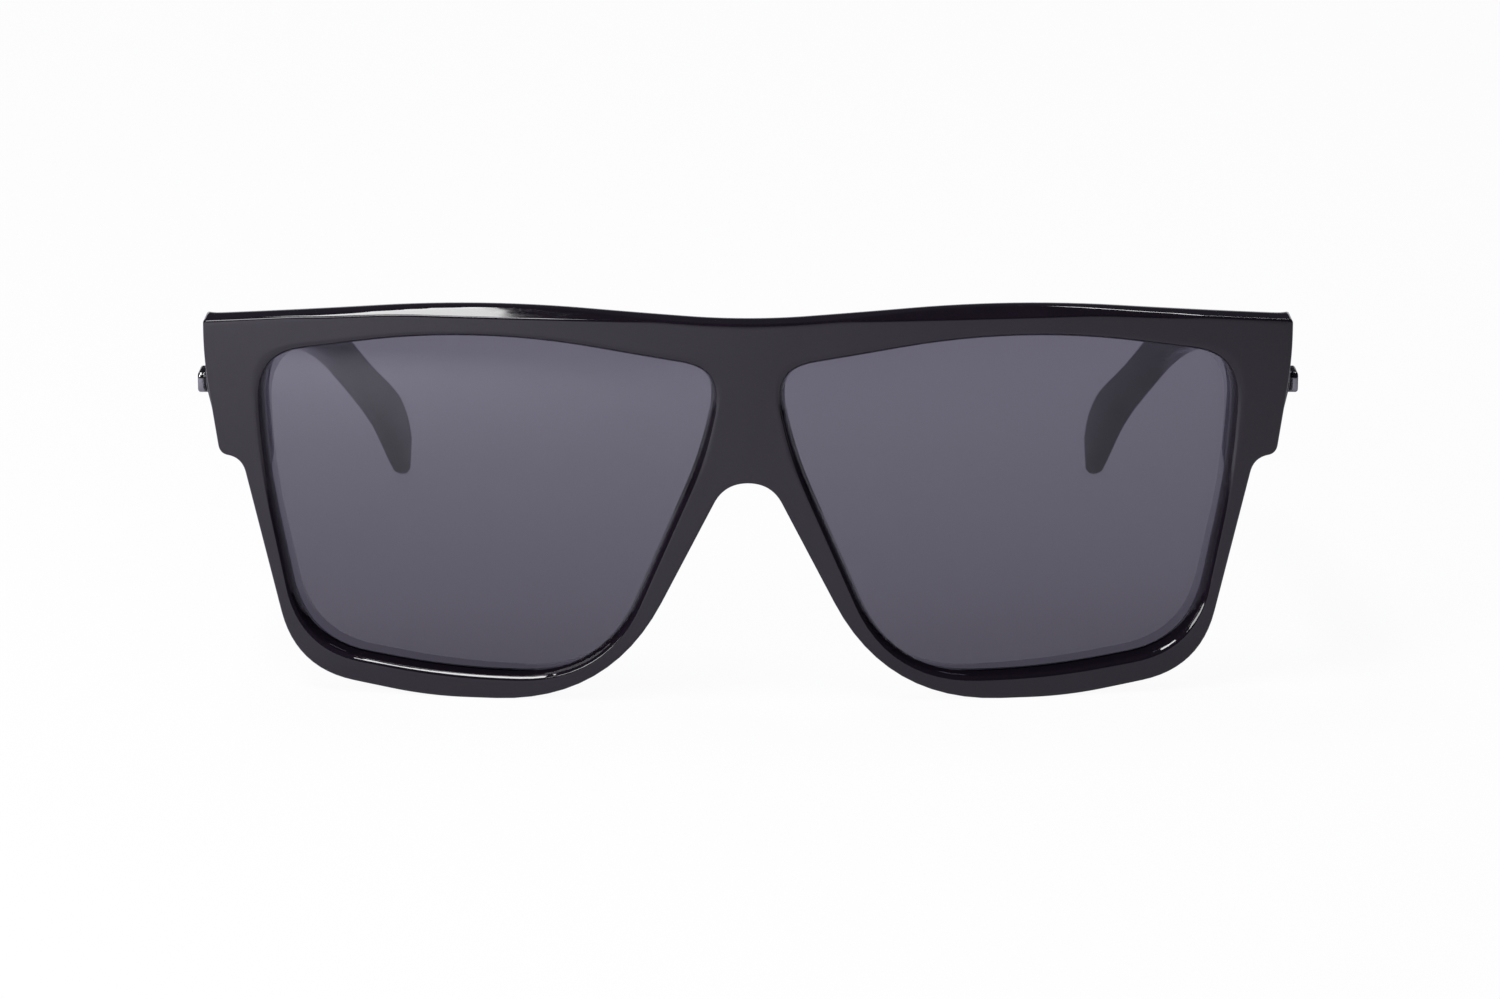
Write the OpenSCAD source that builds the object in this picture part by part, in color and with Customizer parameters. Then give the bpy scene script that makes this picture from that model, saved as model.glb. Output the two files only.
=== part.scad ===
// Flat-top acetate sunglasses with folding temples.
// Z is up, the glasses look along -Y, and +X is the wearer's left.
// Inside the modules y is measured back from the middle of the front face;
// placed() then moves that to the middle of the whole depth.

/* [Lenses] */
// Width of one lens opening, along the lens
lens_w = 62.1; // [56:0.1:64]
// Height of one lens opening
lens_h = 47; // [41:0.5:50]
// Thickness of a lens
lens_t = 1.7; // [1.4:0.1:1.8]
// Radius of a lens's front surface, which is flatter than the front's curve
lens_r = 300; // [280:5:400]
// How far a lens reaches into the groove of its rim
lens_grip = 0.8; // [0.4:0.1:1]
// Gap left round a lens in its groove
lens_gap = 0.05; // [0.02:0.01:0.1]
// How far a lens lies behind the front face beside the nose, at half its height
setback_nose = 1.2; // [1:0.1:1.4]
// How far it lies behind the front face on its outer side
setback_out = 2.8; // [2:0.1:2.9]

/* [Front] */
// Least distance between the two lens openings
bridge_w = 8.8; // [7:0.1:12]
// Height of the bridge, from the arch over the nose to the top edge
bridge_h = 21.6; // [16:0.1:24]
// Width of the arch over the nose
arch_w = 6.2; // [5:0.1:8]
// Radius of the front's curve, seen from above
front_r = 260; // [220:5:320]
// Thickness of the front
front_t = 5.6; // [5.6:0.1:6]
// Height of the rim under a lens opening
rim_bottom = 2.8; // [2.2:0.1:4]
// Width of the rim beside a lens opening, on its outer side
rim_side = 2.1; // [1.8:0.1:3]
// Height of the top edge at the bridge, above the lens openings
brow_h = 1.95; // [1.5:0.05:3]
// Rise of the brow's two crowns above the bridge, before rounding
crown_rise = 2.2; // [1.5:0.1:3]
// Drop of the top edge from the bridge to each end
end_drop = 1.45; // [0.5:0.05:3]
// Height at which the brow's facet starts, above the top edge at the bridge
facet_start = 0.45; // [0.3:0.05:0.8]
// Depth of the brow's facet
facet_depth = 2.4; // [1.5:0.1:3]
// Rise of the brow's facet over that depth
facet_rise = 1.2; // [0.8:0.1:1.6]

/* [End pieces] */
// How far each end piece reaches past its lens opening
end_reach = 7.1; // [6.8:0.1:8]
// Height of each end piece
end_h = 18.3; // [16.5:0.1:20]
// How far an end piece draws in towards its lower corner
end_lean = 1.95; // [0:0.05:2.5]
// How far the flat hinge seat stands behind the front's curved back
seat_out = 1; // [0.8:0.1:3]
// Width of the hinge seat, in from the end
seat_w = 8; // [7.7:0.1:9]

/* [Temples] */
// Length of a temple from the hinge seat to its bend
arm_len = 88; // [75:1:100]
// Length of the drop behind the bend, measured along the temple
drop_len = 35.5; // [28:0.5:40]
// Height of a temple at the hinge seat
arm_h = 17.3; // [15.5:0.1:19]
// Height of a temple at its bend
bend_h = 6.5; // [5.5:0.1:9]
// Height of a temple's top edge at the bend, above the table
bend_z = 31.7; // [24:0.1:34]
// Thickness of a temple
arm_t = 3.5; // [3.3:0.1:4.5]
// How far a temple's outer face stands outside the end piece
arm_proud = 0.35; // [0:0.05:0.8]
// Step from the top of an end piece down to the top of its temple
arm_step = 0.85; // [0.2:0.05:2]
// Length of a temple before it starts to curve inwards
arm_straight = 23; // [18:1:40]
// Radius of the temples' inward curve, seen from above
arm_r = 270; // [220:1:400]
// Height of the bevel along a temple's lower outer edge
arm_bevel_h = 5; // [1:0.1:6]
// Width of that bevel
arm_bevel_w = 1.6; // [0.2:0.1:2]

/* [Core wires] */
// Height of the flat wire inside a temple
wire_h = 2.2; // [1.4:0.1:3]
// Thickness of that wire
wire_t = 1.2; // [0.8:0.1:1.4]
// Depth of the wire under the temple's outer face
wire_depth = 1.7; // [1:0.1:1.8]
// Height above the table at which the wire ends
wire_end = 9; // [6:0.5:15]

/* [Hinges] */
// Radius of a hinge's barrels
barrel_r = 1.6; // [1.4:0.05:1.8]
// Height of one barrel; a hinge has five
barrel_h = 2; // [1.6:0.1:2.4]
// Height of the middle of a hinge above the foot of its end piece
hinge_up = 9; // [8.5:0.1:10]
// Clearance between the barrels and the acetate
barrel_gap = 0.2; // [0.15:0.05:0.4]
// Gap between neighbouring barrels
knuckle_gap = 0.05; // [0.03:0.01:0.1]
// Radius of the hinge screw's shank
screw_r = 0.7; // [0.5:0.05:0.8]
// Radial clearance round the shank in the temple's barrels
screw_gap = 0.05; // [0.02:0.01:0.08]
// Radial gap round the shank in the front's barrels
thread_gap = 0.02; // [0.01:0.01:0.03]
// Radius of the screw's head
head_r = 1.25; // [1:0.05:1.4]
// Height of the screw's head
head_h = 0.7; // [0.5:0.1:1]
// Width of the driver slot
slot_w = 0.35; // [0.2:0.05:0.5]
// Depth of the driver slot
slot_d = 0.35; // [0.2:0.05:0.4]
// Thickness of the hinge leaves
leaf_t = 1; // [0.8:0.05:1.1]
// Width of the leaf let into the end piece
front_leaf_w = 4; // [3:0.1:4.2]
// Length of the leaf let into the temple
temple_leaf_l = 12; // [10.5:0.5:16]
// Depth of the anchor behind the front's leaf
anchor_d = 2; // [1:0.1:2.2]
// Width of the anchor
anchor_w = 2; // [1.4:0.1:2.4]

/* [Badges] */
// Length of the plain metal badge on each temple
badge_l = 5.6; // [5:0.1:9]
// Height of a badge
badge_h = 2.8; // [2.4:0.1:4]
// How far a badge stands proud of the temple
badge_t = 1.6; // [1:0.1:2]
// Radius of a badge's corners
badge_corner = 0.6; // [0.3:0.1:1]
// Distance from the hinge seat to the middle of a badge
badge_y = 8; // [7:0.1:8.5]
// Height of the middle of a badge above the foot of the end piece
badge_up = 7.1; // [6.9:0.1:9]
// Radius of the rivets that hold hinge leaf and badge to the temple
rivet_r = 0.5; // [0.4:0.05:0.6]
// Distance between the two rivets of a temple
rivet_pitch = 3; // [2:0.1:3.4]
// Gap round a rivet
rivet_gap = 0.02; // [0.01:0.01:0.04]
// How deep a rivet reaches into the badge
rivet_seat = 0.8; // [0.4:0.1:0.9]

/* [Nose pads] */
// How far the nose pads stand behind the rim
pad_out = 4.2; // [3:0.1:5]
// Height of a nose pad
pad_h = 17; // [12:0.5:19]
// Height of the middle of a nose pad below the arch over the nose
pad_drop = 10.5; // [9:0.5:12]
// Splay of the pads' bearing faces, in degrees
pad_splay = 22; // [10:1:30]
// Width of rim left bare between a pad and the lens opening
pad_inset = 0.3; // [0.1:0.1:0.6]

/* [Hidden] */

acetate = "#1c1b1f";
smoke = [0.33, 0.32, 0.37, 0.8];
steel = "#b9bcc2";
wire_steel = "#8f9298";

far = 200;
curve_fn = 360;
round_fn = 48;
corner_steps = 8;

// Heights along the front
opening_top = rim_bottom + lens_h;
bridge_top = opening_top + brow_h;
bridge_foot = bridge_top - bridge_h;
end_top = bridge_top - end_drop;
end_foot = end_top - end_h;
lens_mid_z = rim_bottom + lens_h / 2;

// The openings lie on the front's curve; wrap turns one of them from the middle to its place
wrap = asin(lens_w / 2 / front_r) + asin(bridge_w / 2 / front_r);

// Middle of the sphere that a lens's front surface lies on, before the turn to its place
lens_tilt = atan((setback_out - setback_nose) / lens_w);
lens_chord_y = front_r - sqrt(pow(front_r, 2) - pow(lens_w / 2, 2)) + (setback_nose + setback_out) / 2;
lens_far = sqrt(pow(lens_r, 2) - pow(lens_w / 2 / cos(lens_tilt), 2));
lens_centre = [-lens_far * sin(lens_tilt), lens_chord_y + lens_far * cos(lens_tilt), lens_mid_z];

// Distance from the middle plane, on the front face, of a point at a share s of an opening's width
function opening_x(s) = front_r * sin(wrap + asin((s - 0.5) * lens_w / front_r));
function opening_z(t) = rim_bottom + t * lens_h;
// Depth of a curved sheet at a distance x from the middle plane
function sheet_y(x, r) = front_r - sqrt(r * r - x * x);

half_w = opening_x(1) + end_reach;
seat_y = sheet_y(half_w, front_r) + front_t + seat_out;
seat_x = half_w - seat_w;

// Outlines: each corner is [across, up, cut], and the curve leaves the straight
// edges that far before the corner, as a parabola
function flat_point(c) = [c[0], c[1]];
// Where the cut of corner b ends on its edge to a; two cuts share an edge that is too short
function cut_end(b, a) =
    let (edge = flat_point(a) - flat_point(b))
    flat_point(b) + edge * b[2] / max(norm(edge), a[2] + b[2]);
function rounded_corner(a, b, c) =
    let (p = cut_end(b, a), m = flat_point(b), q = cut_end(b, c))
    b[2] == 0 ? [m] : [for (i = [0 : corner_steps])
        let (t = i / corner_steps) (1 - t) * (1 - t) * p + 2 * t * (1 - t) * m + t * t * q];
function rounded(corners) = [for (i = [0 : len(corners) - 1])
    let (n = len(corners))
    each rounded_corner(corners[(i + n - 1) % n], corners[i], corners[(i + 1) % n])];
function without_repeats(path) = [for (i = [0 : len(path) - 1])
    if (norm(path[i] - path[(i + 1) % len(path)]) > 0.001) path[i]];
// A closed path moved outwards; it runs anticlockwise
function grown(path, d) = [for (i = [0 : len(path) - 1])
    let (n = len(path), along = path[(i + 1) % n] - path[(i + n - 1) % n])
    path[i] + d * [along[1], -along[0]] / norm(along)];
function flipped(corners) = [for (i = [len(corners) - 1 : -1 : 0])
    [-corners[i][0], corners[i][1], corners[i][2]]];

// One lens opening, as shares of its width from the nose and of its height from below
opening_corners = [
    [0.239, 0, 12],
    [0.575, 0, 8],
    [0.912, 0.062, 5],
    [0.996, 0.606, 8],
    [1.006, 0.9245, 7],
    [0.516, 1.032, 16.2],
    [-0.018, 0.917, 6],
    [0.026, 0.655, 5]];
opening_path = without_repeats(rounded([for (c = opening_corners)
    [(c[0] - 0.5) * lens_w, opening_z(c[1]), c[2]]]));

// The foot of the rim's edge beside the nose, before rounding
foot_x = opening_x(0.239) - rim_bottom / 4;

// The +X half of the front's outline, anticlockwise from the arch over the nose
half_outline = [
    [arch_w / 2, bridge_foot, arch_w / 2],
    [foot_x, 0, 15.4],
    [opening_x(0.6235), 0, 5],
    [opening_x(0.912) + rim_side / 4, opening_z(0.062) - rim_bottom, 8],
    [opening_x(1) + rim_side, end_foot - 0.4, 2],
    [half_w - end_lean, end_foot, 1.2],
    [half_w, end_top - 5.5, 4],
    [half_w, end_top, 0.8],
    [opening_x(0.5) + 0.1, bridge_top + crown_rise, 14],
    [4, bridge_top, 4]];
outline_path = without_repeats(rounded(concat(half_outline, flipped(half_outline))));

// Side view of a temple: pairs of top and bottom points, [back from the hinge seat, up]
arm_top = end_top - arm_step;
tip_y = arm_len + drop_len;
arm_stations = [
    [[0, arm_top], [0, arm_top - arm_h], 0],
    [[0.7 * arm_len, arm_top - 0.7 * (arm_top - bend_z)], [0.715 * arm_len, bend_z + 1.5], 20],
    [[arm_len, bend_z], [arm_len + 2, bend_z - bend_h], 10],
    [[tip_y - 5.8, 0.41 * bend_z], [tip_y - 12.8, 0.372 * bend_z], 7],
    [[tip_y + 0.3, 2.4], [tip_y - 2.6, -0.97], 3]];
function station_mid(s) = (s[0] + s[1]) / 2;
function station_up(s) = (s[0] - s[1]) / norm(s[0] - s[1]);
// The two edges joined to one closed outline, anticlockwise
function banded(tops, bottoms) = without_repeats(rounded(concat(
    bottoms, [for (i = [len(tops) - 1 : -1 : 0]) tops[i]])));
arm_path = banded([for (s = arm_stations) [s[0][0], s[0][1], s[2]]],
                  [for (s = arm_stations) [s[1][0], s[1][1], s[2]]]);
function wire_edge(s, d) = let (p = station_mid(s) + d * station_up(s)) [p[0], p[1], s[2]];
wire_path = banded([for (s = arm_stations) wire_edge(s, wire_h / 2)],
                   [for (s = arm_stations) wire_edge(s, -wire_h / 2)]);

// Places of the hinge, in plan and in height
arm_x = half_w + arm_proud;
arm_inner_x = arm_x - arm_t;
axis_x = arm_inner_x - barrel_gap - barrel_r;
axis_y = seat_y + barrel_gap + barrel_r;
hinge_z = end_foot + hinge_up;
hinge_h = 5 * barrel_h;
hinge_foot = hinge_z - hinge_h / 2;
badge_z = end_foot + badge_up;

// The whole depth runs from the front face to the temple tips
depth = seat_y + tip_y - 0.44;

module placed() {
    translate([0, -depth / 2, 0]) children();
}

module sided(side) {
    if (side > 0) children();
    else mirror([1, 0, 0]) children();
}

// Turns what is drawn round x = 0 about the axis of the front's curve, to the +X lens
module at_lens() {
    translate([0, front_r, 0]) rotate([0, 0, wrap]) translate([0, -front_r, 0]) children();
}

// An upright outline made a bar that runs from y = y0 to y = y1
module bar(path, y0, y1) {
    translate([0, y1, 0]) rotate([90, 0, 0]) linear_extrude(y1 - y0) polygon(path);
}

// Everything behind the front's curve at a depth d
module behind(d) {
    translate([0, front_r, -far / 2]) cylinder(r = front_r - d, h = far, $fn = curve_fn);
}

module box(low, high) {
    translate(low) cube(high - low);
}

// Front: one curved sheet with two flat hinge seats

module sheet() {
    difference() {
        intersection() {
            bar(outline_path, -1, seat_y + 5);
            behind(0);
        }
        behind(front_t);
    }
}

module hinge_seat() {
    intersection() {
        bar(outline_path, -1, seat_y);
        behind(front_t - 0.5);
        box([seat_x, 0, end_foot - 0.4], [half_w + 1, seat_y, arm_top]);
    }
}

module brow_facet() {
    start = bridge_top + facet_start;
    translate([0, front_r, 0]) rotate_extrude($fn = curve_fn)
        polygon([
            [front_r + facet_depth, start - facet_rise],
            [front_r - 2 * facet_depth, start + 2 * facet_rise],
            [front_r + facet_depth, start + 2 * facet_rise]]);
}

module lens_shell(d0, d1, reach) {
    at_lens() intersection() {
        bar(grown(opening_path, reach), -far / 4, far / 4);
        difference() {
            translate(lens_centre) sphere(r = lens_r - d0, $fn = curve_fn);
            translate(lens_centre) sphere(r = lens_r - d1, $fn = curve_fn);
        }
    }
}

module front_frame() {
    color(acetate) placed() difference() {
        union() {
            sheet();
            for (side = [-1, 1]) sided(side) hinge_seat();
        }
        brow_facet();
        for (side = [-1, 1]) sided(side) {
            at_lens() bar(opening_path, -far / 4, far / 4);
            lens_shell(-lens_gap, lens_t + lens_gap, lens_grip + lens_gap);
            front_leaf();
        }
    }
}

module lens(side) {
    color(smoke) placed() sided(side) lens_shell(0, lens_t, lens_grip);
}

// A nose pad is a dome on the back of the rim, cut to the rim's width and splayed
module nose_pad(side) {
    pad_z = bridge_foot - pad_drop;
    dome_r = (pow(pad_h / 2, 2) + pow(pad_out, 2)) / (2 * pad_out);
    color(acetate) placed() sided(side) difference() {
        intersection() {
            bar(outline_path, 0, front_t + pad_out + 2);
            behind(front_t);
            translate([0, front_t + pad_out - dome_r, pad_z])
                rotate([0, 90, 0]) cylinder(r = dome_r, h = far / 4, $fn = curve_fn);
        }
        at_lens() bar(grown(opening_path, pad_inset), -far / 4, far / 4);
        nose_side();
    }
}

// What lies on the nose's side of a pad's bearing face
module nose_side() {
    edge_lean = atan2(arch_w / 2 - foot_x, bridge_foot);
    translate([foot_x, front_t, 0]) rotate([0, edge_lean, 0]) rotate([0, 0, -pad_splay])
        box([-far / 4, 0, -far / 4], [0, far / 4, far / 2]);
}

// Hinge: five barrels on one screw, three on the front and two on the temple

module barrel(i, gap) {
    translate([axis_x, axis_y, hinge_foot + i * barrel_h + gap])
        cylinder(r = barrel_r, h = barrel_h - 2 * gap, $fn = round_fn);
}

module screw_bore(i, r) {
    translate([axis_x, axis_y, hinge_foot + i * barrel_h - 1])
        cylinder(r = r, h = barrel_h + 2, $fn = round_fn);
}

// The leaf and anchor that are let into the end piece
module front_leaf() {
    x1 = axis_x + barrel_r - barrel_gap;
    box([x1 - front_leaf_w, seat_y - leaf_t, hinge_foot], [x1, seat_y, hinge_foot + hinge_h]);
    box([x1 - front_leaf_w / 2 - anchor_w / 2, seat_y - leaf_t - anchor_d, hinge_foot + barrel_h],
        [x1 - front_leaf_w / 2 + anchor_w / 2, seat_y - leaf_t, hinge_foot + hinge_h - barrel_h]);
}

module front_hinge(side) {
    color(steel) placed() sided(side) difference() {
        union() {
            front_leaf();
            for (i = [0, 2, 4]) {
                barrel(i, 0);
                box([axis_x - barrel_r, seat_y - leaf_t, hinge_foot + i * barrel_h],
                    [axis_x + barrel_r / 2, axis_y, hinge_foot + (i + 1) * barrel_h]);
            }
        }
        for (i = [0, 2, 4]) screw_bore(i, screw_r + thread_gap);
    }
}

module temple_leaf() {
    box([arm_inner_x, seat_y + 0.6, hinge_foot],
        [arm_inner_x + leaf_t, seat_y + temple_leaf_l, hinge_foot + hinge_h]);
}

module temple_hinge(side) {
    color(steel) placed() sided(side) difference() {
        union() {
            temple_leaf();
            for (i = [1, 3]) {
                barrel(i, knuckle_gap);
                box([axis_x, seat_y + 0.6, hinge_foot + i * barrel_h + knuckle_gap],
                    [arm_inner_x + leaf_t, axis_y + barrel_r, hinge_foot + (i + 1) * barrel_h - knuckle_gap]);
            }
        }
        for (i = [1, 3]) screw_bore(i, screw_r + screw_gap);
        rivet_bores();
    }
}

module hinge_screw(side) {
    top = hinge_foot + hinge_h;
    color(wire_steel) placed() sided(side) difference() {
        translate([axis_x, axis_y, hinge_foot]) union() {
            cylinder(r = screw_r, h = hinge_h, $fn = round_fn);
            translate([0, 0, hinge_h]) cylinder(r = head_r, h = head_h, $fn = round_fn);
        }
        box([axis_x - head_r - 1, axis_y - slot_w / 2, top + head_h - slot_d],
            [axis_x + head_r + 1, axis_y + slot_w / 2, top + head_h + 1]);
    }
}

// Temples: a side outline cut from a slab that curves inwards

// The slab between two depths under the temple's outer face
module arm_slab(d0, d1) {
    bow_y = seat_y + arm_straight;
    box([arm_x - d1, seat_y, -1], [arm_x - d0, bow_y, end_top + 1]);
    intersection() {
        translate([arm_x - arm_r, bow_y, -1]) difference() {
            cylinder(r = arm_r - d0, h = end_top + 2, $fn = curve_fn);
            translate([0, 0, -1]) cylinder(r = arm_r - d1, h = end_top + 4, $fn = curve_fn);
        }
        box([0, bow_y, -1], [arm_x + 1, seat_y + tip_y + 5, end_top + 1]);
    }
}

// A side outline made a plate across the temple
module side_plate(path) {
    translate([0, seat_y, 0]) rotate([90, 0, 90]) linear_extrude(arm_x + 1) polygon(path);
}

module core_wire_solid() {
    intersection() {
        arm_slab(wire_depth, wire_depth + wire_t);
        side_plate(wire_path);
        box([0, seat_y + temple_leaf_l, wire_end], [arm_x, seat_y + tip_y, end_top]);
    }
}

module lower_bevel() {
    foot = arm_top - arm_h;
    bar([[arm_x - arm_bevel_w, foot], [arm_x, foot + arm_bevel_h], [arm_x + 5, foot + arm_bevel_h],
         [arm_x + 5, foot - 5], [arm_x - 2 * arm_bevel_w, foot - arm_bevel_h]], seat_y - 1, seat_y + arm_len);
}

module temple(side) {
    color(acetate) placed() sided(side) difference() {
        intersection() {
            arm_slab(0, arm_t);
            side_plate(arm_path);
        }
        lower_bevel();
        temple_leaf();
        core_wire_solid();
        rivet_bores();
    }
}

module core_wire(side) {
    color(wire_steel) placed() sided(side) core_wire_solid();
}

// Rivets and badge

// end is -1 for the rivet nearer the hinge and 1 for the other
module rivet_pin(end, r) {
    translate([arm_inner_x, seat_y + badge_y + end * rivet_pitch / 2, badge_z])
        rotate([0, 90, 0]) cylinder(r = r, h = arm_t + rivet_seat, $fn = round_fn);
}

module rivet_bores() {
    for (end = [-1, 1]) rivet_pin(end, rivet_r + rivet_gap);
}

module rivet(side, end) {
    color(steel) placed() sided(side) rivet_pin(end, rivet_r);
}

module badge(side) {
    l = badge_l / 2;
    h = badge_h / 2;
    c = badge_corner;
    color(steel) placed() sided(side) difference() {
        translate([arm_x, seat_y + badge_y, badge_z]) rotate([90, 0, 90])
            linear_extrude(badge_t) polygon(without_repeats(rounded(
                [[-l, -h, c], [l, -h, c], [l, h, c], [-l, h, c]])));
        rivet_bores();
    }
}

front_frame();
lens(1);  // lens_left
lens(-1);  // lens_right
nose_pad(1);  // nose_pad_left
nose_pad(-1);  // nose_pad_right
front_hinge(1);  // front_hinge_left
front_hinge(-1);  // front_hinge_right
hinge_screw(1);  // hinge_screw_left
hinge_screw(-1);  // hinge_screw_right
temple(1);  // temple_left
temple(-1);  // temple_right
temple_hinge(1);  // temple_hinge_left
temple_hinge(-1);  // temple_hinge_right
core_wire(1);  // core_wire_left
core_wire(-1);  // core_wire_right
rivet(1, -1);  // rivet_front_left
rivet(-1, -1);  // rivet_front_right
rivet(1, 1);  // rivet_rear_left
rivet(-1, 1);  // rivet_rear_right
badge(1);  // badge_left
badge(-1);  // badge_right
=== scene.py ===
"""Looks of the flat-top acetate sunglasses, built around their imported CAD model."""

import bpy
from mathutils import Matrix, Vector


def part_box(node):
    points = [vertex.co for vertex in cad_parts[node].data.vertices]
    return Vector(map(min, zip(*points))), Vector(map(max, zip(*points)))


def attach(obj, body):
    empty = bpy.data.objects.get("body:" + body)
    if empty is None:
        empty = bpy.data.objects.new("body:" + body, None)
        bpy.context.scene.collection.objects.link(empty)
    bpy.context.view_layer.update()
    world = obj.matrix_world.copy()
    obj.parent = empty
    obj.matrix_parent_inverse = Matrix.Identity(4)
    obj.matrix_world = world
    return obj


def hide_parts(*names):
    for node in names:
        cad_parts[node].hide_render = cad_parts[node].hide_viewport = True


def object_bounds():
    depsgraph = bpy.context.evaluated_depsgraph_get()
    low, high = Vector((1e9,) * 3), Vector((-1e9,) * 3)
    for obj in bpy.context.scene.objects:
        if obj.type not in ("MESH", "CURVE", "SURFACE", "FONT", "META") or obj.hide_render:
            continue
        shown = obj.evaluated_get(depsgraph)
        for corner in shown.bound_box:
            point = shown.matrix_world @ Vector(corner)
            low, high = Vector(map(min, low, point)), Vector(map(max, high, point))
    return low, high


bl_info = {
    "name": "Flat-Top Sunglasses",
    "version": (1, 0, 0),
    "blender": (4, 5, 0),
    "location": "View3D > Sidebar > Eyewear",
    "description": "Builds acetate sunglasses with smoke lenses round their CAD model",
    "category": "Add Mesh",
}

from math import asin, atan, cos, pi, radians, sin, sqrt, tan
from types import SimpleNamespace

import bmesh
import bpy
import numpy as np
from bpy.props import FloatProperty, FloatVectorProperty, PointerProperty
from bpy.types import Operator, Panel, PropertyGroup
from mathutils import Vector

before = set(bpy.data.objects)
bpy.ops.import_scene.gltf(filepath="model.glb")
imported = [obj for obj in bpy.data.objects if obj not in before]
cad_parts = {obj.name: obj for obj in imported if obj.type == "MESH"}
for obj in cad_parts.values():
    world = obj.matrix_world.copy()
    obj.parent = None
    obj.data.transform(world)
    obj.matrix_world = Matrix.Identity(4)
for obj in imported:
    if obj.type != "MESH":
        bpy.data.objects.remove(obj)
CAD_LOW, CAD_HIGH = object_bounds()

MM = 0.001
# Shapes are drawn in mm from here: the middle of the front face, down at table level
FACE = np.array((0, CAD_LOW.y / MM, 0))
SIDES = {"left": 1, "right": -1}

# Steps of a rounded corner, of a rounded edge and across a flat face
CORNER_STEPS = 12
ARC_STEPS = 5
FACE_STEPS = 9
# Spacing of the columns of faces round an outline, in mm, and the least that is kept
COLUMN_SPACING = 0.7
LEAST_SPACING = 0.06
# Points nearer than this are one point, in mm: in the large pieces, and in the small metal ones
MERGE, FINE_MERGE = 0.002, 0.0005
CRISP_ANGLE = radians(40)
NO_LIMIT = 99.0


# Properties


def number(name, description, value, **options):
    """A property that holds a number from 0 up."""
    options.setdefault("min", 0.0)
    return FloatProperty(name=name, description=description, default=value, **options)


def length(name, description, size):
    """A property that holds a length, with its default given in millimetres."""
    return number(name, description, size * MM, unit="LENGTH", subtype="DISTANCE", precision=5)


def angle(name, description, degrees):
    """A property that holds an angle, with its default given in degrees."""
    return number(name, description, radians(degrees), unit="ROTATION", subtype="ANGLE")


def srgb(code):
    """Linear red, green, blue and alpha of an sRGB colour written as #rrggbb."""
    parts = [int(code[i:i + 2], 16) / 255 for i in (1, 3, 5)]
    return tuple(c / 12.92 if c <= 0.04045 else ((c + 0.055) / 1.055) ** 2.4 for c in parts) + (1.0,)


def colour(name, description, code):
    """A property that holds a colour, with its default given as sRGB hex."""
    return FloatVectorProperty(name=name, description=description, default=srgb(code), size=4,
                               min=0.0, max=1.0, subtype="COLOR")


def sizes_of(group):
    """The lengths of a property group in millimetres, and its other numbers as they are."""
    values = {}
    for prop in group.bl_rna.properties:
        if prop.type == "FLOAT" and not prop.is_array:
            value = getattr(group, prop.identifier)
            values[prop.identifier] = value / MM if prop.unit == "LENGTH" else value
    return SimpleNamespace(**values)


class FrontSizes(PropertyGroup):
    """Sizes of the acetate front."""

    lens_w: length("Lens width", "Width of one lens opening, along the lens", 62.1)
    lens_h: length("Lens height", "Height of one lens opening", 47)
    bridge_w: length("Bridge width", "Least distance between the two openings", 8.8)
    bridge_h: length("Bridge height", "From the arch over the nose to the top edge", 21.6)
    arch_w: length("Arch width", "Width of the arch over the nose", 6.2)
    curve_r: length("Face curve", "Radius of the front's curve, seen from above", 260)
    thickness: length("Thickness", "Thickness of the front", 5.6)
    rim_bottom: length("Lower rim", "Height of the rim under an opening", 2.8)
    rim_side: length("Side rim", "Width of the rim on an opening's outer side", 2.1)
    brow_h: length("Brow height", "Top edge at the bridge, above the openings", 1.95)
    crown_rise: length("Crown rise", "Rise of the brow's crowns above the bridge, before rounding", 2.19)
    end_drop: length("End drop", "Drop of the top edge from the bridge to each end", 1.45)
    end_reach: length("End reach", "How far an end piece reaches past its opening", 7.1)
    end_h: length("End height", "Height of an end piece", 18.3)
    end_lean: length("End lean", "How far an end piece draws in towards its lower corner", 1.95)
    seat_out: length("Seat depth", "How far the hinge seat stands behind the curved back", 1.0)
    facet_start: length("Facet start", "Foot of the brow's facet above the top edge at the bridge", 0.5)
    facet_slope: number("Facet slope", "Rise of the brow's facet for its depth", 0.5)
    facet_drop: length("Facet drop", "Drop of the facet's foot towards each end", 0.9)
    edge_front: length("Front edge", "Radius of the tumbled edges on the front", 0.3)
    edge_opening: length("Opening edge", "Radius of the tumbled edges round an opening's back", 0.5)
    lip: length("Opening lip", "How far the polished wall stands into the opening", 0.33)
    ridge: length("Opening ridge", "How far more it stands in beside the lens on the outer side", 0.35)
    nose_ridge: length("Nose ridge", "The same beside the nose", 0.85)
    bevel: length("Opening bevel", "Bevel round the front of an opening", 0.42)
    edge_back: length("Back edge", "Radius of the tumbled edges on the back", 1.3)
    edge_seat: length("Seat edge", "Radius of the edges round a hinge seat", 0.3)


class LensSizes(PropertyGroup):
    """Sizes of the two lenses."""

    thickness: length("Thickness", "Thickness of a lens", 1.7)
    curve_r: length("Curve", "Radius of a lens's front surface", 300)
    grip: length("Grip", "How far a lens reaches into its groove", 0.8)
    setback_nose: length("Setback at the nose", "Depth behind the front face beside the nose", 1.2)
    setback_out: length("Setback outside", "Depth behind the front face on the outer side", 2.8)


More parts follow.
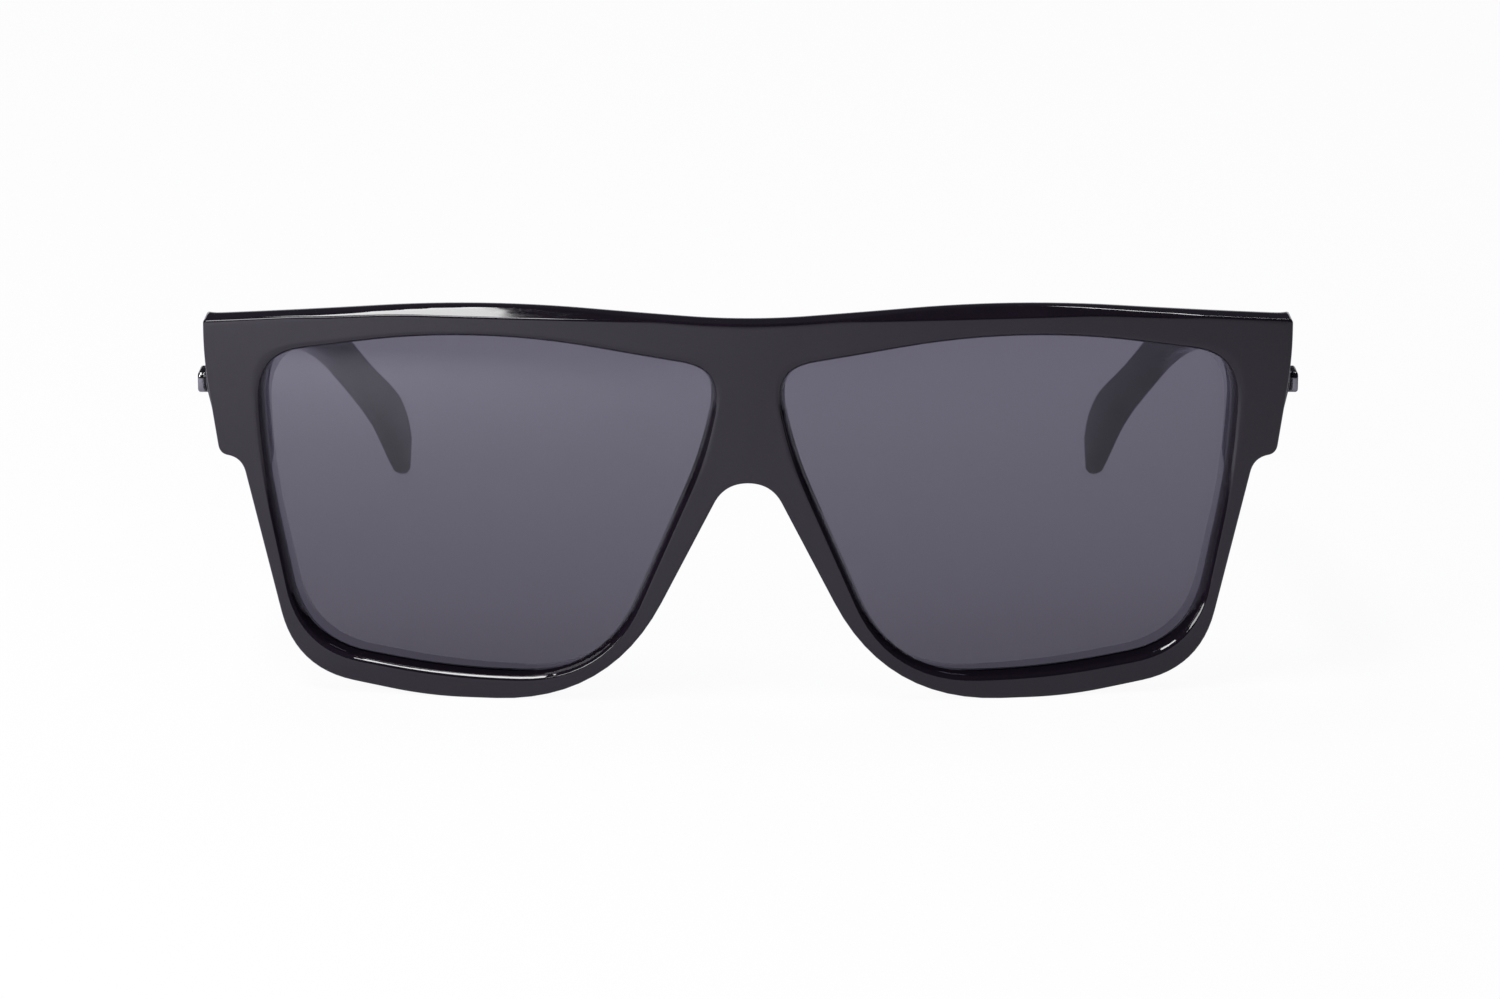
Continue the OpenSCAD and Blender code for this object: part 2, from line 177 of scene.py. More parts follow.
class PadSizes(PropertyGroup):
    """Sizes of the nose pads."""

    reach: length("Reach", "How far a pad stands behind the rim", 4.2)
    height: length("Height", "Height of a pad", 17)
    drop: length("Drop", "Middle of a pad below the arch over the nose", 10.5)
    inset: length("Inset", "Rim left bare between a pad and the opening", 0.3)
    edge: length("Edge", "Cut of a pad's rounded edges", 1.8)
    buried: length("Buried", "How deep a pad's foot lies in the rim", 0.4)
    splay: angle("Splay", "Splay of a pad's bearing face", 22)


class TempleSizes(PropertyGroup):
    """Sizes of the temples."""

    arm_len: length("Length to bend", "From the hinge seat to the bend", 88)
    height: length("Height", "Height at the hinge seat", 17.3)
    bend_h: length("Bend height", "Height of a temple at its bend", 6.5)
    bend_z: length("Bend level", "Top edge at the bend, above the table", 31.7)
    thickness: length("Thickness", "Thickness of a temple", 3.5)
    tip_thickness: length("Tip thickness", "Thickness at the tip", 2.3)
    tip_round: length("Tip rounding", "How far the tip's rounding reaches past its last section", 1.1)
    proud: length("Proud", "How far the outer face stands outside the end piece", 0.35)
    step: length("Step", "From the top of an end piece down to its temple", 0.85)
    straight: length("Straight", "Length before the inward curve", 23)
    bow_r: length("Bow", "Radius of the inward curve, seen from above", 270)
    bevel_h: length("Bevel height", "Height of the bevel along the lower outer edge", 9)
    bevel_w: length("Bevel width", "Width of that bevel", 1.75)
    bevel_end: length("Bevel end", "Height and width of the bevel past the inward curve", 0.5)
    edge: length("Edge", "Cut of the rounded edges along a temple", 1.3)
    end_edge: length("End edge", "Radius of the edges round the end face at the hinge", 0.25)
    end_gap: length("End gap", "Gap between the end face and the hinge seat", 0.04)


class HingeSizes(PropertyGroup):
    """Sizes of the hinges, rivets and badges."""

    barrel_r: length("Barrel radius", "Radius of a hinge's barrels", 1.6)
    barrel_h: length("Barrel height", "Height of one barrel", 2)
    knuckle_gap: length("Knuckle gap", "Gap between neighbouring barrels", 0.05)
    bore_r: length("Bore", "Radius of the bore through the barrels", 0.74)
    screw_gap: length("Screw gap", "Gap between a screw's shank and the bore", 0.04)
    leaf_t: length("Leaf", "Thickness of a leaf", 1)
    front_gap: length("Front gap", "Gap between the front's leaf and the barrels", 0.2)
    arm_lap: length("Temple lap", "How far the temple's leaf stands back from the barrels' front", 0.4)
    web_gap: length("Web gap", "Gap between the temple's webs and the bore", 0.05)
    edge: length("Edge", "Broken edge of the metal parts", 0.12)
    slot_w: length("Slot", "Width of the screw's driver slot", 0.35)
    slot_d: length("Slot depth", "Depth of the screw's driver slot", 0.35)
    rivet_r: length("Rivet", "Radius of a rivet", 0.5)
    rivet_head: length("Rivet head", "Height of a rivet's domed head", 0.16)
    badge_edge: length("Badge edge", "Rounded edge of a badge", 0.35)
    badge_corner: length("Badge corner", "Cut of a badge's rounded corners", 0.8)


class FinishColours(PropertyGroup):
    """Colours of the finishes."""

    acetate: colour("Acetate", "Body colour of the black acetate", "#151018")
    lens: colour("Lens tint", "Light that a whole lens lets through", "#595664")
    steel: colour("Hinge steel", "Stainless steel of the hinges and rivets", "#b4b6ba")
    screw: colour("Screw steel", "Turned stainless steel of the screws", "#a3a5aa")
    wire: colour("Wire steel", "Drawn steel of the core wires", "#94979c")
    badge: colour("Badge metal", "Darkened nickel silver of the badges", "#7d7d80")
    paper: colour("Floor paper", "Cool white of the floor paper", "#dfdcec")
    ceiling: colour("Ceiling", "Dim upper part of the studio, seen in reflections", "#2b2b31")


class StudioSettings(PropertyGroup):
    """Camera, floor and lights."""

    distance: length("Distance", "From the camera to the front", 800)
    elevation: angle("Elevation", "Camera's angle above the glasses", 13.2)
    aim_z: length("Aim", "Height that the camera looks at", 27.95)
    focal: number("Focal length", "Lens in mm on a 36 mm wide sensor", 144.32, min=1.0)
    floor_w: length("Floor", "Width of the floor", 6000)
    pale_share: number("Pale share", "Share of the floor's look that no shadow dims", 0.95, max=1.0)
    gloss_share: number("Gloss share", "The same in a mirror image of the floor", 0.1, max=1.0)
    fill: number("Fill", "Strength of the plain light from all sides", 0.12)
    softbox_power: number("Softbox power", "Power of the softboxes overhead", 6.5, unit="POWER")


# Outlines, in millimetres: each corner is (across, up, cut), and the curve leaves the straight
# edges that far before the corner, as a parabola


def cut_end(corner, neighbour):
    """Where the rounding of a corner ends on its edge to a neighbour."""
    edge = np.subtract(neighbour[:2], corner[:2])
    return np.array(corner[:2]) + edge * corner[2] / max(np.linalg.norm(edge), neighbour[2] + corner[2])


def rounded(before, corners, after, steps=CORNER_STEPS):
    """Points of a run of rounded corners between two neighbours, and the place of each corner's middle."""
    points, middles = [], []
    chain = [before, *corners, after]
    for a, b, c in zip(chain, chain[1:], chain[2:]):
        start, peak, end = cut_end(b, a), np.array(b[:2], float), cut_end(b, c)
        for t in np.linspace(0, 1, steps + 1) if b[2] else [0.5]:
            if t == 0.5:
                middles.append(len(points))
            points.append((1 - t) ** 2 * start + 2 * t * (1 - t) * peak + t * t * end)
    return np.array(points), middles


def closed_path(corners, steps=CORNER_STEPS):
    """A closed outline with rounded corners."""
    return rounded(corners[-1], corners, corners[0], steps)[0]


def open_path(start, corners, end, steps=10):
    """A path from a start over rounded corners to an end."""
    return np.concatenate([[start], rounded((*start, 0), corners, (*end, 0), steps)[0], [end]])


def spaced(points):
    """A closed outline without points that lie on their neighbour."""
    gaps = np.linalg.norm(points - np.roll(points, 1, 0), axis=1)
    return points[gaps > LEAST_SPACING / 10]


def shares_along(points):
    """Share of the whole length at each point of a path."""
    steps = np.linalg.norm(np.diff(points, axis=0), axis=1)
    return np.concatenate([[0], np.cumsum(steps)]) / steps.sum()


def paired(outer, inner):
    """Points of two paths at the same shares of their length, so that strips of faces join them."""
    span = max(np.linalg.norm(np.diff(p, axis=0), axis=1).sum() for p in (outer, inner))
    even = np.linspace(0, 1, int(span / COLUMN_SPACING) + 2)
    kept = [0.0]
    for share in np.unique(np.concatenate([shares_along(outer), shares_along(inner), even])):
        if (share - kept[-1]) * span > LEAST_SPACING:
            kept.append(share)
    kept[-1] = 1.0
    return [np.column_stack([np.interp(kept, shares_along(path), path[:, k]) for k in (0, 1)])
            for path in (outer, inner)]


def outward(points):
    """Unit normals of a closed anticlockwise path, pointing out of it."""
    before, after = np.roll(points, 1, 0) - points, np.roll(points, -1, 0) - points
    along = after / np.linalg.norm(after, axis=1)[:, None] - before / np.linalg.norm(before, axis=1)[:, None]
    normals = np.column_stack([along[:, 1], -along[:, 0]])
    return normals / np.linalg.norm(normals, axis=1)[:, None]


def corner_room(points):
    """Largest edge radius that each point of a closed anticlockwise path has room for."""
    least_turn, used_share = 1e-4, 0.7
    after = np.roll(points, -1, 0) - points
    before = np.roll(after, 1, 0)
    long_after, long_before = np.linalg.norm(after, axis=1), np.linalg.norm(before, axis=1)
    turn = (before[:, 0] * after[:, 1] - before[:, 1] * after[:, 0]) / (long_after * long_before)
    room = used_share * (long_after + long_before) / 2 / np.maximum(turn, least_turn)
    return np.where(turn > least_turn, room, NO_LIMIT)


def eased(values, passes):
    """Values round a closed path, first lowered to their neighbours' least and then smoothed."""
    for _ in range(2):
        values = np.minimum(values, np.minimum(np.roll(values, 1), np.roll(values, -1)))
    for _ in range(passes):
        values = (np.roll(values, 1) + 2 * values + np.roll(values, -1)) / 4
    return values


def smooth_step(low, high, value):
    """0 below low and 1 above high, with a smooth rise between them."""
    t = np.clip((np.asarray(value, float) - low) / (high - low), 0, 1)
    return t * t * (3 - 2 * t)


def soft_limit(values, limit, softness):
    """Values held under a limit, with a rounded turn."""
    return -softness * np.logaddexp(-values / softness, -limit / softness)


# Meshes: a shape is a pair of points and faces


def quad(i, j, rings, count):
    """The face between points j and j + 1 of rings i and i + 1. The first follows on the last."""
    a, b, k = i * count, (i + 1) % rings * count, (j + 1) % count
    return a + j, a + k, b + k, b + j


def lofted(rings):
    """A closed skin through rings of equally many points; its ends are fans."""
    count = len(rings[0])
    points = np.concatenate(rings + [rings[0].mean(0)[None], rings[-1].mean(0)[None]])
    faces = [quad(i, j, len(rings), count) for i in range(len(rings) - 1) for j in range(count)]
    start, end = len(points) - 2, len(points) - 1
    last = (len(rings) - 1) * count
    for j in range(count):
        k = (j + 1) % count
        faces += [(start, k, j), (end, last + j, last + k)]
    return points, faces


def joined(*shapes):
    """Several shapes as one."""
    points, faces, first = [], [], 0
    for shape_points, shape_faces in shapes:
        points.append(shape_points)
        faces += [tuple(first + i for i in face) for face in shape_faces]
        first += len(shape_points)
    return np.concatenate(points), faces


def beveled_box(x_span, y_span, z_span, edge):
    """A box with rounded edges."""
    low, high = np.sort(np.array([x_span, y_span, z_span], float)).T
    work = bmesh.new()
    bmesh.ops.create_cube(work, size=1)
    for v in work.verts:
        v.co = Vector((low + high) / 2 + np.array(v.co) * (high - low))
    bmesh.ops.bevel(work, geom=work.edges[:], offset=edge, segments=2, affect="EDGES", profile=0.5)
    work.verts.index_update()
    shape = np.array([v.co for v in work.verts]), [tuple(v.index for v in f.verts) for f in work.faces]
    work.free()
    return shape


def add_piece(name, shape, slot, body, *nodes, merge=MERGE, crisp=False):
    """A closed smooth piece that moves with a body, has a slot's finish and stands for CAD nodes."""
    points, faces = shape
    mesh = bpy.data.meshes.new(name)
    mesh.from_pydata([tuple(p) for p in (points + FACE) * MM], [], faces)
    work = bmesh.new()
    work.from_mesh(mesh)
    bmesh.ops.delete(work, geom=[v for v in work.verts if not v.link_faces], context="VERTS")
    bmesh.ops.remove_doubles(work, verts=work.verts, dist=merge * MM)
    bmesh.ops.dissolve_degenerate(work, edges=work.edges, dist=merge * MM / 4)
    bmesh.ops.recalc_face_normals(work, faces=work.faces)
    open_edges = sum(not e.is_manifold for e in work.edges)
    work.to_mesh(mesh)
    work.free()
    if open_edges:
        raise RuntimeError(f"{name} has {open_edges} edges that aren't closed")
    mesh.shade_smooth()
    if crisp:
        mesh.set_sharp_from_angle(angle=CRISP_ANGLE)
    mesh.materials.append(finish(slot))
    piece = bpy.data.objects.new(name, mesh)
    bpy.context.scene.collection.objects.link(piece)
    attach(piece, body)
    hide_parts(*nodes)


def add_pair(name, shape, slot, node, on_arm=False):
    """The left and right pieces of a shape that is drawn for the wearer's left."""
    points, faces = shape
    for side, sign in SIDES.items():
        body = f"{side}_arm" if on_arm else "front"
        add_piece(f"{name}_{side}", (points * (sign, 1, 1), faces), slot, body, f"{node}_{side}")


def node_box(node):
    """Low and high corner of a CAD node."""
    return [np.array(corner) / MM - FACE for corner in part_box(node)]


# Nodes and materials


def add_node(tree, kind, inputs=None, **settings):
    """Adds a node. An input is given a value, or a socket or node to link, or a list of those.

    A node that is given stands for its first output.
    """
    node = tree.nodes.new(kind)
    for name, value in settings.items():
        setattr(node, name, value)
    for name, given in (inputs or {}).items():
        for value in given if isinstance(given, list) else [given]:
            if isinstance(value, bpy.types.Node):
                value = value.outputs[0]
            if isinstance(value, bpy.types.NodeSocket):
                tree.links.new(value, node.inputs[name])
            else:
                node.inputs[name].default_value = value
    return node


def add_math(tree, operation, first, second):
    """A sum, product or greater value of two numbers."""
    return add_node(tree, "ShaderNodeMath", {0: first, 1: second}, operation=operation)


def add_noise(tree, place, grain, detail):
    """A noise whose grains measure some millimetres."""
    return add_node(tree, "ShaderNodeTexNoise",
                    {"Vector": place, "Scale": 1 / (grain * MM), "Detail": detail})


def add_range(tree, value, start, end, low=0.0, high=1.0, **settings):
    """A value that goes from low to high while another goes from start to end."""
    return add_node(tree, "ShaderNodeMapRange", {"Value": value, "From Min": start, "From Max": end,
                                                 "To Min": low, "To Max": high}, **settings)


def add_tones(tree, value, tint, dark, light):
    """A tint times a factor from dark to light."""
    tones = add_node(tree, "ShaderNodeValToRGB", {"Fac": value})
    for element, factor in zip(tones.color_ramp.elements, (dark, light)):
        element.color = [min(c * factor, 1) for c in tint[:3]] + [1]
    return tones


def add_bump(tree, height, strength, depth, **under):
    """A bump that is some millimetres deep."""
    return add_node(tree, "ShaderNodeBump",
                    {"Strength": strength, "Distance": depth * MM, "Height": height, **under})


def new_material(name):
    """An empty material, its tree, and its Object coordinates, which keep patterns at their real size."""
    material = bpy.data.materials.new(name)
    material.use_nodes = True
    tree = material.node_tree
    tree.nodes.clear()
    return material, tree, add_node(tree, "ShaderNodeTexCoord").outputs["Object"]


def end_surface(tree, inputs):
    """Ends a material in a surface with these inputs."""
    shader = add_node(tree, "ShaderNodeBsdfPrincipled", inputs)
    add_node(tree, "ShaderNodeOutputMaterial", {"Surface": shader})


def tumbled_acetate(base):
    """Black cellulose acetate, tumbled and hand-polished: deep gloss with a faint haze and soft ripple.

    The gloss comes from the index of acetate, 1.48. Tumbling leaves ripples about 3 mm wide, and
    buffing leaves hairlines. These are far finer than a pixel, so they are drawn 0.35 mm apart.
    """
    material, tree, place = new_material("Tumbled black acetate")
    depth_tone = add_tones(tree, add_noise(tree, place, 9, 3.0), base, 0.75, 1.35)
    buffed = add_node(tree, "ShaderNodeMapping", {"Vector": place, "Scale": (1.0, 1.0, 9.0)})
    hairlines = add_noise(tree, buffed, 3.2, 4.0)
    soft = add_bump(tree, add_noise(tree, place, 3, 1.0), 0.25, 0.005)
    gloss = add_range(tree, hairlines, 0.3, 0.7, 0.03, 0.08)
    end_surface(tree, {"Base Color": depth_tone, "Roughness": gloss, "IOR": 1.48,
                       "Normal": add_bump(tree, hairlines, 0.2, 0.001, Normal=soft)})
    return material


def dyed_lens(tint):
    """Dyed CR-39 resin with a hard coat: clear smoke grey. Its tint is painted lighter at the top and darker
    towards its foot, as painted shade of the floor close behind it seen through the lens.

    The coat's thickness varies over about 6 mm, which shows as a faint unevenness of the gloss.
    """
    material, tree, place = new_material("Dyed CR-39 smoke lens")
    height = add_node(tree, "ShaderNodeSeparateXYZ", {"Vector": place}).outputs["Z"]
    # Painted light and shade: the tint goes from 0.6 times at the lens's foot to 1.36 times at its top,
    # standing in for the shaded floor seen through its lower part
    painted_light_and_shade = add_tones(tree, add_range(tree, height, CAD_LOW.z, CAD_HIGH.z), tint, 0.6, 1.36)
    gloss = add_range(tree, add_noise(tree, place, 6, 2.0), 0.0, 1.0, 0.0, 0.03)
    end_surface(tree, {"Base Color": painted_light_and_shade, "Roughness": gloss, "IOR": 1.498, "Transmission Weight": 1.0})
    return material


def worked_metal(name, tint, gloss, grain, stretch, depth):
    """Bare metal with marks left by its making: their spacing and depth in mm, and their stretch."""
    material, tree, place = new_material(name)
    turned = add_node(tree, "ShaderNodeMapping", {"Vector": place, "Scale": stretch})
    marks = add_noise(tree, turned, grain, 5.0)
    end_surface(tree, {"Base Color": add_tones(tree, marks, tint, 0.93, 1.04), "Metallic": 1.0,
                       "Roughness": add_range(tree, marks, 0.3, 0.7, *gloss),
                       "Normal": add_bump(tree, marks, 0.4, depth)})
    return material


# For each slot: the material's name, its colour, the range of its roughness, and the marks'
# spacing in mm, stretch and depth in mm. The spacing is drawn coarser than the real 0.05 to 0.1 mm,
# which no render would show.
METALS = {
    # Stamped and barrel-finished: a satin sheen with fine marks in every direction
    "hinge_steel": ("Stamped stainless steel", "steel", (0.24, 0.38), 0.4, (1, 1, 1), 0.002),
    # Turned on a lathe: rings round the axis show as fine level lines
    "screw_steel": ("Turned stainless steel", "screw", (0.16, 0.3), 0.5, (1, 1, 6), 0.002),
    # Drawn through a die: long lines down the wire
    "wire_steel": ("Drawn steel wire", "wire", (0.25, 0.4), 0.6, (6, 1, 1), 0.003),
    # Peened over: slightly uneven and bright
    "rivet_steel": ("Peened steel rivet", "steel", (0.2, 0.34), 0.5, (1, 1, 1), 0.004),
    # Buffed and then darkened in a bath: smooth and grey, with a faint trace of the mop
    "badge_steel": ("Darkened nickel silver", "badge", (0.1, 0.2), 0.7, (1, 1, 5), 0.001),
}
made_finishes = {}


def finish(slot):
    """The material of a slot, made once."""
    colours = bpy.context.scene.eyewear_colours
    if slot not in made_finishes:
        if slot == "acetate":
            made_finishes[slot] = tumbled_acetate(colours.acetate)
        elif slot == "smoke_lens":
            made_finishes[slot] = dyed_lens(colours.lens)
        else:
            name, tint, *marks = METALS[slot]
            made_finishes[slot] = worked_metal(name, getattr(colours, tint), *marks)
    return made_finishes[slot]


# Shape of the front

# Corners of an opening as shares of its width from the nose and of its height, with their cuts
# in mm: first the one high beside the nose, then anticlockwise
OPENING_CORNERS = [(0.026, 0.655, 5), (0.239, 0, 12), (0.575, 0, 8), (0.912, 0.062, 9),
                   (0.996, 0.606, 8), (1.006, 0.9245, 7), (0.516, 1.032, 16.2), (-0.018, 0.917, 6)]
LOW_BY_NOSE, LOW_OUTSIDE = OPENING_CORNERS[1], OPENING_CORNERS[3]
# Corners of the outline, counted as in half_outline, that face a corner of the opening
FACING_CORNERS = (1, 2, 3, 4, 7, 8)
# Soft ramps in mm: where the facet's foot drops and the hinge seat begins, both from the middle
# plane, and the seat's lower and upper end, from the end piece's foot and top
FACET_RAMP = (44, 62)
SEAT_RAMP = (61.8, 65.0)
SEAT_FOOT_RAMP = (-2.6, -0.3)
SEAT_TOP_RAMP = (-1.0, -0.2)
# Depth and height of the rounding at the facet's foot, and softness of the turn into the facet, in mm
FACET_FOOT = (0.15, 0.1)
FACET_SOFTNESS = 0.06
# Gap between a hinge seat and the temple's end, and the least that counts as a seat, in mm
SEAT_GAP, SEAT_RISE = 0.05, 0.1
# Rings on the outer wall, in mm behind the face, and on an opening's wall, as shares of its depth
WALL_DEPTHS = (0.75, 1.1, 1.5, 1.9, 2.3, 2.7, 3.2)
WALL_SHARES = (0.75, 0.5, 0.25)
# Share of an opening's bevel that is flat: it is cut by hand and only slightly rounded by the tumbling
BEVEL_FLATNESS = 0.75


def sheet_y(x, r, curve_r):
    """Depth of a curved sheet at a distance x from the middle plane, for a surface of radius r."""
    return curve_r - np.sqrt(r * r - np.asarray(x, float) ** 2)


class FrontShape:
    """Measures of the front that its neighbours take their places from."""

    def __init__(self, sizes):
        s = self.sizes = sizes
        self.wrap = asin(s.lens_w / 2 / s.curve_r) + asin(s.bridge_w / 2 / s.curve_r)
        self.bridge_top = s.rim_bottom + s.lens_h + s.brow_h
        self.bridge_foot = self.bridge_top - s.bridge_h
        self.end_top = self.bridge_top - s.end_drop
        self.end_foot = self.end_top - s.end_h
        self.half_w = self.opening_x(1) + s.end_reach
        self.seat_y = float(sheet_y(self.half_w, s.curve_r, s.curve_r)) + s.thickness + s.seat_out
        self.foot_x = self.opening_x(LOW_BY_NOSE[0]) - s.rim_bottom / 4
        self.lens_mid_z = s.rim_bottom + s.lens_h / 2

    def opening_x(self, share):
        """Distance from the middle plane at a share of an opening's width, counted from the nose."""
        s = self.sizes
        return s.curve_r * sin(self.wrap + asin((share - 0.5) * s.lens_w / s.curve_r))

    def opening_z(self, share):
        """Height at a share of an opening's height."""
        return self.sizes.rim_bottom + share * self.sizes.lens_h

    def opening_corners(self):
        """Corners of an opening, drawn round the middle plane."""
        return [((across - 0.5) * self.sizes.lens_w, self.opening_z(up), cut)
                for across, up, cut in OPENING_CORNERS]

    def half_outline(self):
        """Corners of the +X half of the outline, anticlockwise from the arch over the nose.

        They are the arch, the lower rim's three corners, the rim under the end piece, the end
        piece's three corners, the crown of the brow and the foot of its rise from the bridge.
        """
        s = self.sizes
        rim_x, rim_z = self.opening_x(LOW_OUTSIDE[0]), self.opening_z(LOW_OUTSIDE[1])
        return [
            (s.arch_w / 2, self.bridge_foot, s.arch_w / 2),
            (self.foot_x, 0, 15.4),
            (self.opening_x(0.6235), 0, 5),
            (rim_x + s.rim_side / 4, rim_z - s.rim_bottom, 8),
            (self.opening_x(1) + s.rim_side, self.end_foot - 0.4, 2),
            (self.half_w - s.end_lean, self.end_foot, 1.2),
            (self.half_w, self.end_top - 5.5, 4),
            (self.half_w, self.end_top, 0.6),
            (self.opening_x(0.5) + 0.1, self.bridge_top + s.crown_rise, 14),
            (4, self.bridge_top, 4)]

    def turned(self, points):
        """Points drawn round x = 0 turned to the +X lens, about the axis of the front's curve."""
        r, c, n = self.sizes.curve_r, cos(self.wrap), sin(self.wrap)
        x, y, z = np.asarray(points, float).T
        return np.column_stack([x * c + (r - y) * n, r - ((r - y) * c - x * n), z])

    def on_sheet(self, across, depth, up):
        """Points at a depth under the curved face."""
        curve_r = self.sizes.curve_r
        return np.column_stack([across, sheet_y(across, curve_r - depth, curve_r), up])

    def facet_limit(self, across, depth):
        """Height under which the brow stays at a depth behind its face: a facet with a rounded foot."""
        s = self.sizes
        q = np.minimum(depth / FACET_FOOT[0], 1)
        drop = FACET_FOOT[1] * (1 - np.sqrt(q * (2 - q))) + s.facet_drop * smooth_step(*FACET_RAMP, across)
        return self.bridge_top + s.facet_start + s.facet_slope * depth - drop

    def back_depth(self, x, z):
        """Depth of the back face under the front face, with the flat hinge seats."""
        s = self.sizes
        seat = s.curve_r - np.hypot(s.curve_r - (self.seat_y - SEAT_GAP), x)
        seated = (smooth_step(*SEAT_RAMP, x) * smooth_step(*SEAT_FOOT_RAMP, z - self.end_foot)
                  * (1 - smooth_step(*SEAT_TOP_RAMP, z - self.end_top)))
        return s.thickness + seated * np.maximum(0, seat - s.thickness)

    def columns(self):
        """Points of the half outline, their partners on the opening, and the first point of the seam.

        Each run between two facing corners of the outline is paired with one run of the opening,
        and the seam at x = 0, from the top edge to the arch, with the opening's side beside the nose.
        """
        corners = self.half_outline()
        (first_x, *first), (last_x, *last) = corners[0], corners[-1]
        edge, middles = rounded((-first_x, *first), corners, (-last_x, *last))
        marks = [0, *(middles[i] for i in FACING_CORNERS), len(edge) - 1]
        outer_runs = [edge[a:b + 1] for a, b in zip(marks, marks[1:])] + [edge[[-1, 0]]]
        corners = self.opening_corners()
        opening, middles = rounded(corners[-1], corners, corners[0])
        middles.append(middles[0] + len(opening))
        opening = np.concatenate([opening, opening])
        pairs = [paired(run, opening[a:b + 1]) for run, a, b in zip(outer_runs, middles, middles[1:])]
        outer, inner = (np.concatenate([pair[k][:-1] for pair in pairs]) for k in (0, 1))
        return outer, inner, len(outer) - len(pairs[-1][0]) + 1


def half_front(shape):
    """The front's +X half, open where it meets the other half at x = 0."""
    s = shape.sizes
    outer, inner, seam_start = shape.columns()
    count = len(outer)
    on_seam = np.arange(count) >= seam_start
    down_seam = np.zeros(count)
    down_seam[seam_start:] = np.linspace(0, 1, count - seam_start + 1)[:-1]
    normal, opening_normal = outward(outer), outward(inner)
    # The arch and the brow run on over the middle plane
    normal[0], normal[seam_start] = (0, -1), (0, 1)
    nose_side, outer_side = (np.maximum(sign * opening_normal[:, 0], 0) for sign in (-1, 1))

    # The edges are rounded as far as the corners have room, and only a little round the hinge seats
    room = corner_room(outer)
    room[0] = room[on_seam] = NO_LIMIT
    edge_depth = shape.back_depth(*outer.T)
    off_seat = eased(1 - (edge_depth > s.thickness + SEAT_RISE).astype(float), 4)
    front_r = eased(np.minimum(s.edge_front, room), 3)
    back_r = eased(np.minimum(s.edge_seat + (s.edge_back - s.edge_seat) * off_seat, room), 3)

    def outer_point(inset, depth):
        """One ring on the outer edge: inset from the outline, at a depth under the face."""
        across, up = (outer - normal * inset[:, None]).T
        top, foot = outer[seam_start, 1] - inset[seam_start], outer[0, 1] + inset[0]
        across = np.where(on_seam, 0, across)
        across[0] = 0
        up = np.where(on_seam, top + (foot - top) * down_seam, up)
        return shape.on_sheet(across, depth, soft_limit(up, shape.facet_limit(across, depth), FACET_SOFTNESS))

    def opening_point(grow, depth):
        """One ring round the opening: grown into the rim, at a depth under the face."""
        across, up = (inner + opening_normal * (grow - s.lip * (1 - nose_side))[:, None]).T
        return shape.turned(shape.on_sheet(across, depth, up))

    def between(a, b, on_back):
        """Rings across a face, between two rings on its edges."""
        rings = []
        for share in np.linspace(0, 1, FACE_STEPS * (1 + on_back) + 1)[1:-1]:
            across, _, up = (a * (1 - share) + b * share).T
            rings.append(shape.on_sheet(across, shape.back_depth(across, up) if on_back else 0, up))
        return rings

    angles = np.linspace(0, pi / 2, ARC_STEPS + 1)
    opening_back = opening_point(0, s.thickness)
    opening_depth = shape.back_depth(opening_back[:, 0], opening_back[:, 2])
    fronts = [outer_point(front_r * (1 - sin(a)), front_r * (1 - cos(a))) for a in angles]
    walls = [outer_point(np.zeros(count), np.full(count, depth)) for depth in WALL_DEPTHS]
    backs = [outer_point(back_r * (1 - cos(a)), edge_depth - back_r * (1 - sin(a))) for a in angles]
    e = s.edge_opening
    opening_backs = [opening_point(e * (1 - sin(a)), opening_depth - e * (1 - cos(a))) for a in angles]
    # At both sides the wall stands in furthest halfway, where it holds the lens
    ridge = s.ridge * outer_side ** 4 + s.nose_ridge * nose_side
    opening_walls = [opening_point(-ridge * (1 - abs(2 * t - 1)), s.bevel + (opening_depth - e - s.bevel) * t)
                     for t in WALL_SHARES]
    opening_fronts = []
    for a in angles:
        flat = BEVEL_FLATNESS * a / (pi / 2)
        grow = (1 - BEVEL_FLATNESS) * (1 - cos(a)) + flat
        depth = (1 - BEVEL_FLATNESS) * (1 - sin(a)) + BEVEL_FLATNESS - flat
        opening_fronts.append(opening_point(s.bevel * grow, np.full(count, s.bevel * depth)))

    face = between(opening_fronts[-1], fronts[0], False)
    edge = [*fronts, *walls, *backs]
    rings = [opening_fronts[-1], *face, *edge, *between(backs[-1], opening_backs[0], True),
             *opening_backs, *opening_walls, *opening_fronts[:-1]]
    edge_rings = range(1 + len(face), len(face) + len(edge))
    faces = [quad(i, j, len(rings), count) for i in range(len(rings)) for j in range(count)
             if not (i in edge_rings and on_seam[j])]
    return np.concatenate(rings), faces


class EYEWEAR_OT_front(Operator):
    """Build the acetate front with its brow facet, openings and hinge seats"""

    bl_idname = "eyewear.front"
    bl_label = "Front"

    def execute(self, context):
        points, faces = half_front(FrontShape(sizes_of(context.scene.eyewear_front)))
        whole = joined((points, faces), (points * (-1, 1, 1), [f[::-1] for f in faces]))
        add_piece("acetate_front", whole, "acetate", "front", "front_frame")
        return {"FINISHED"}


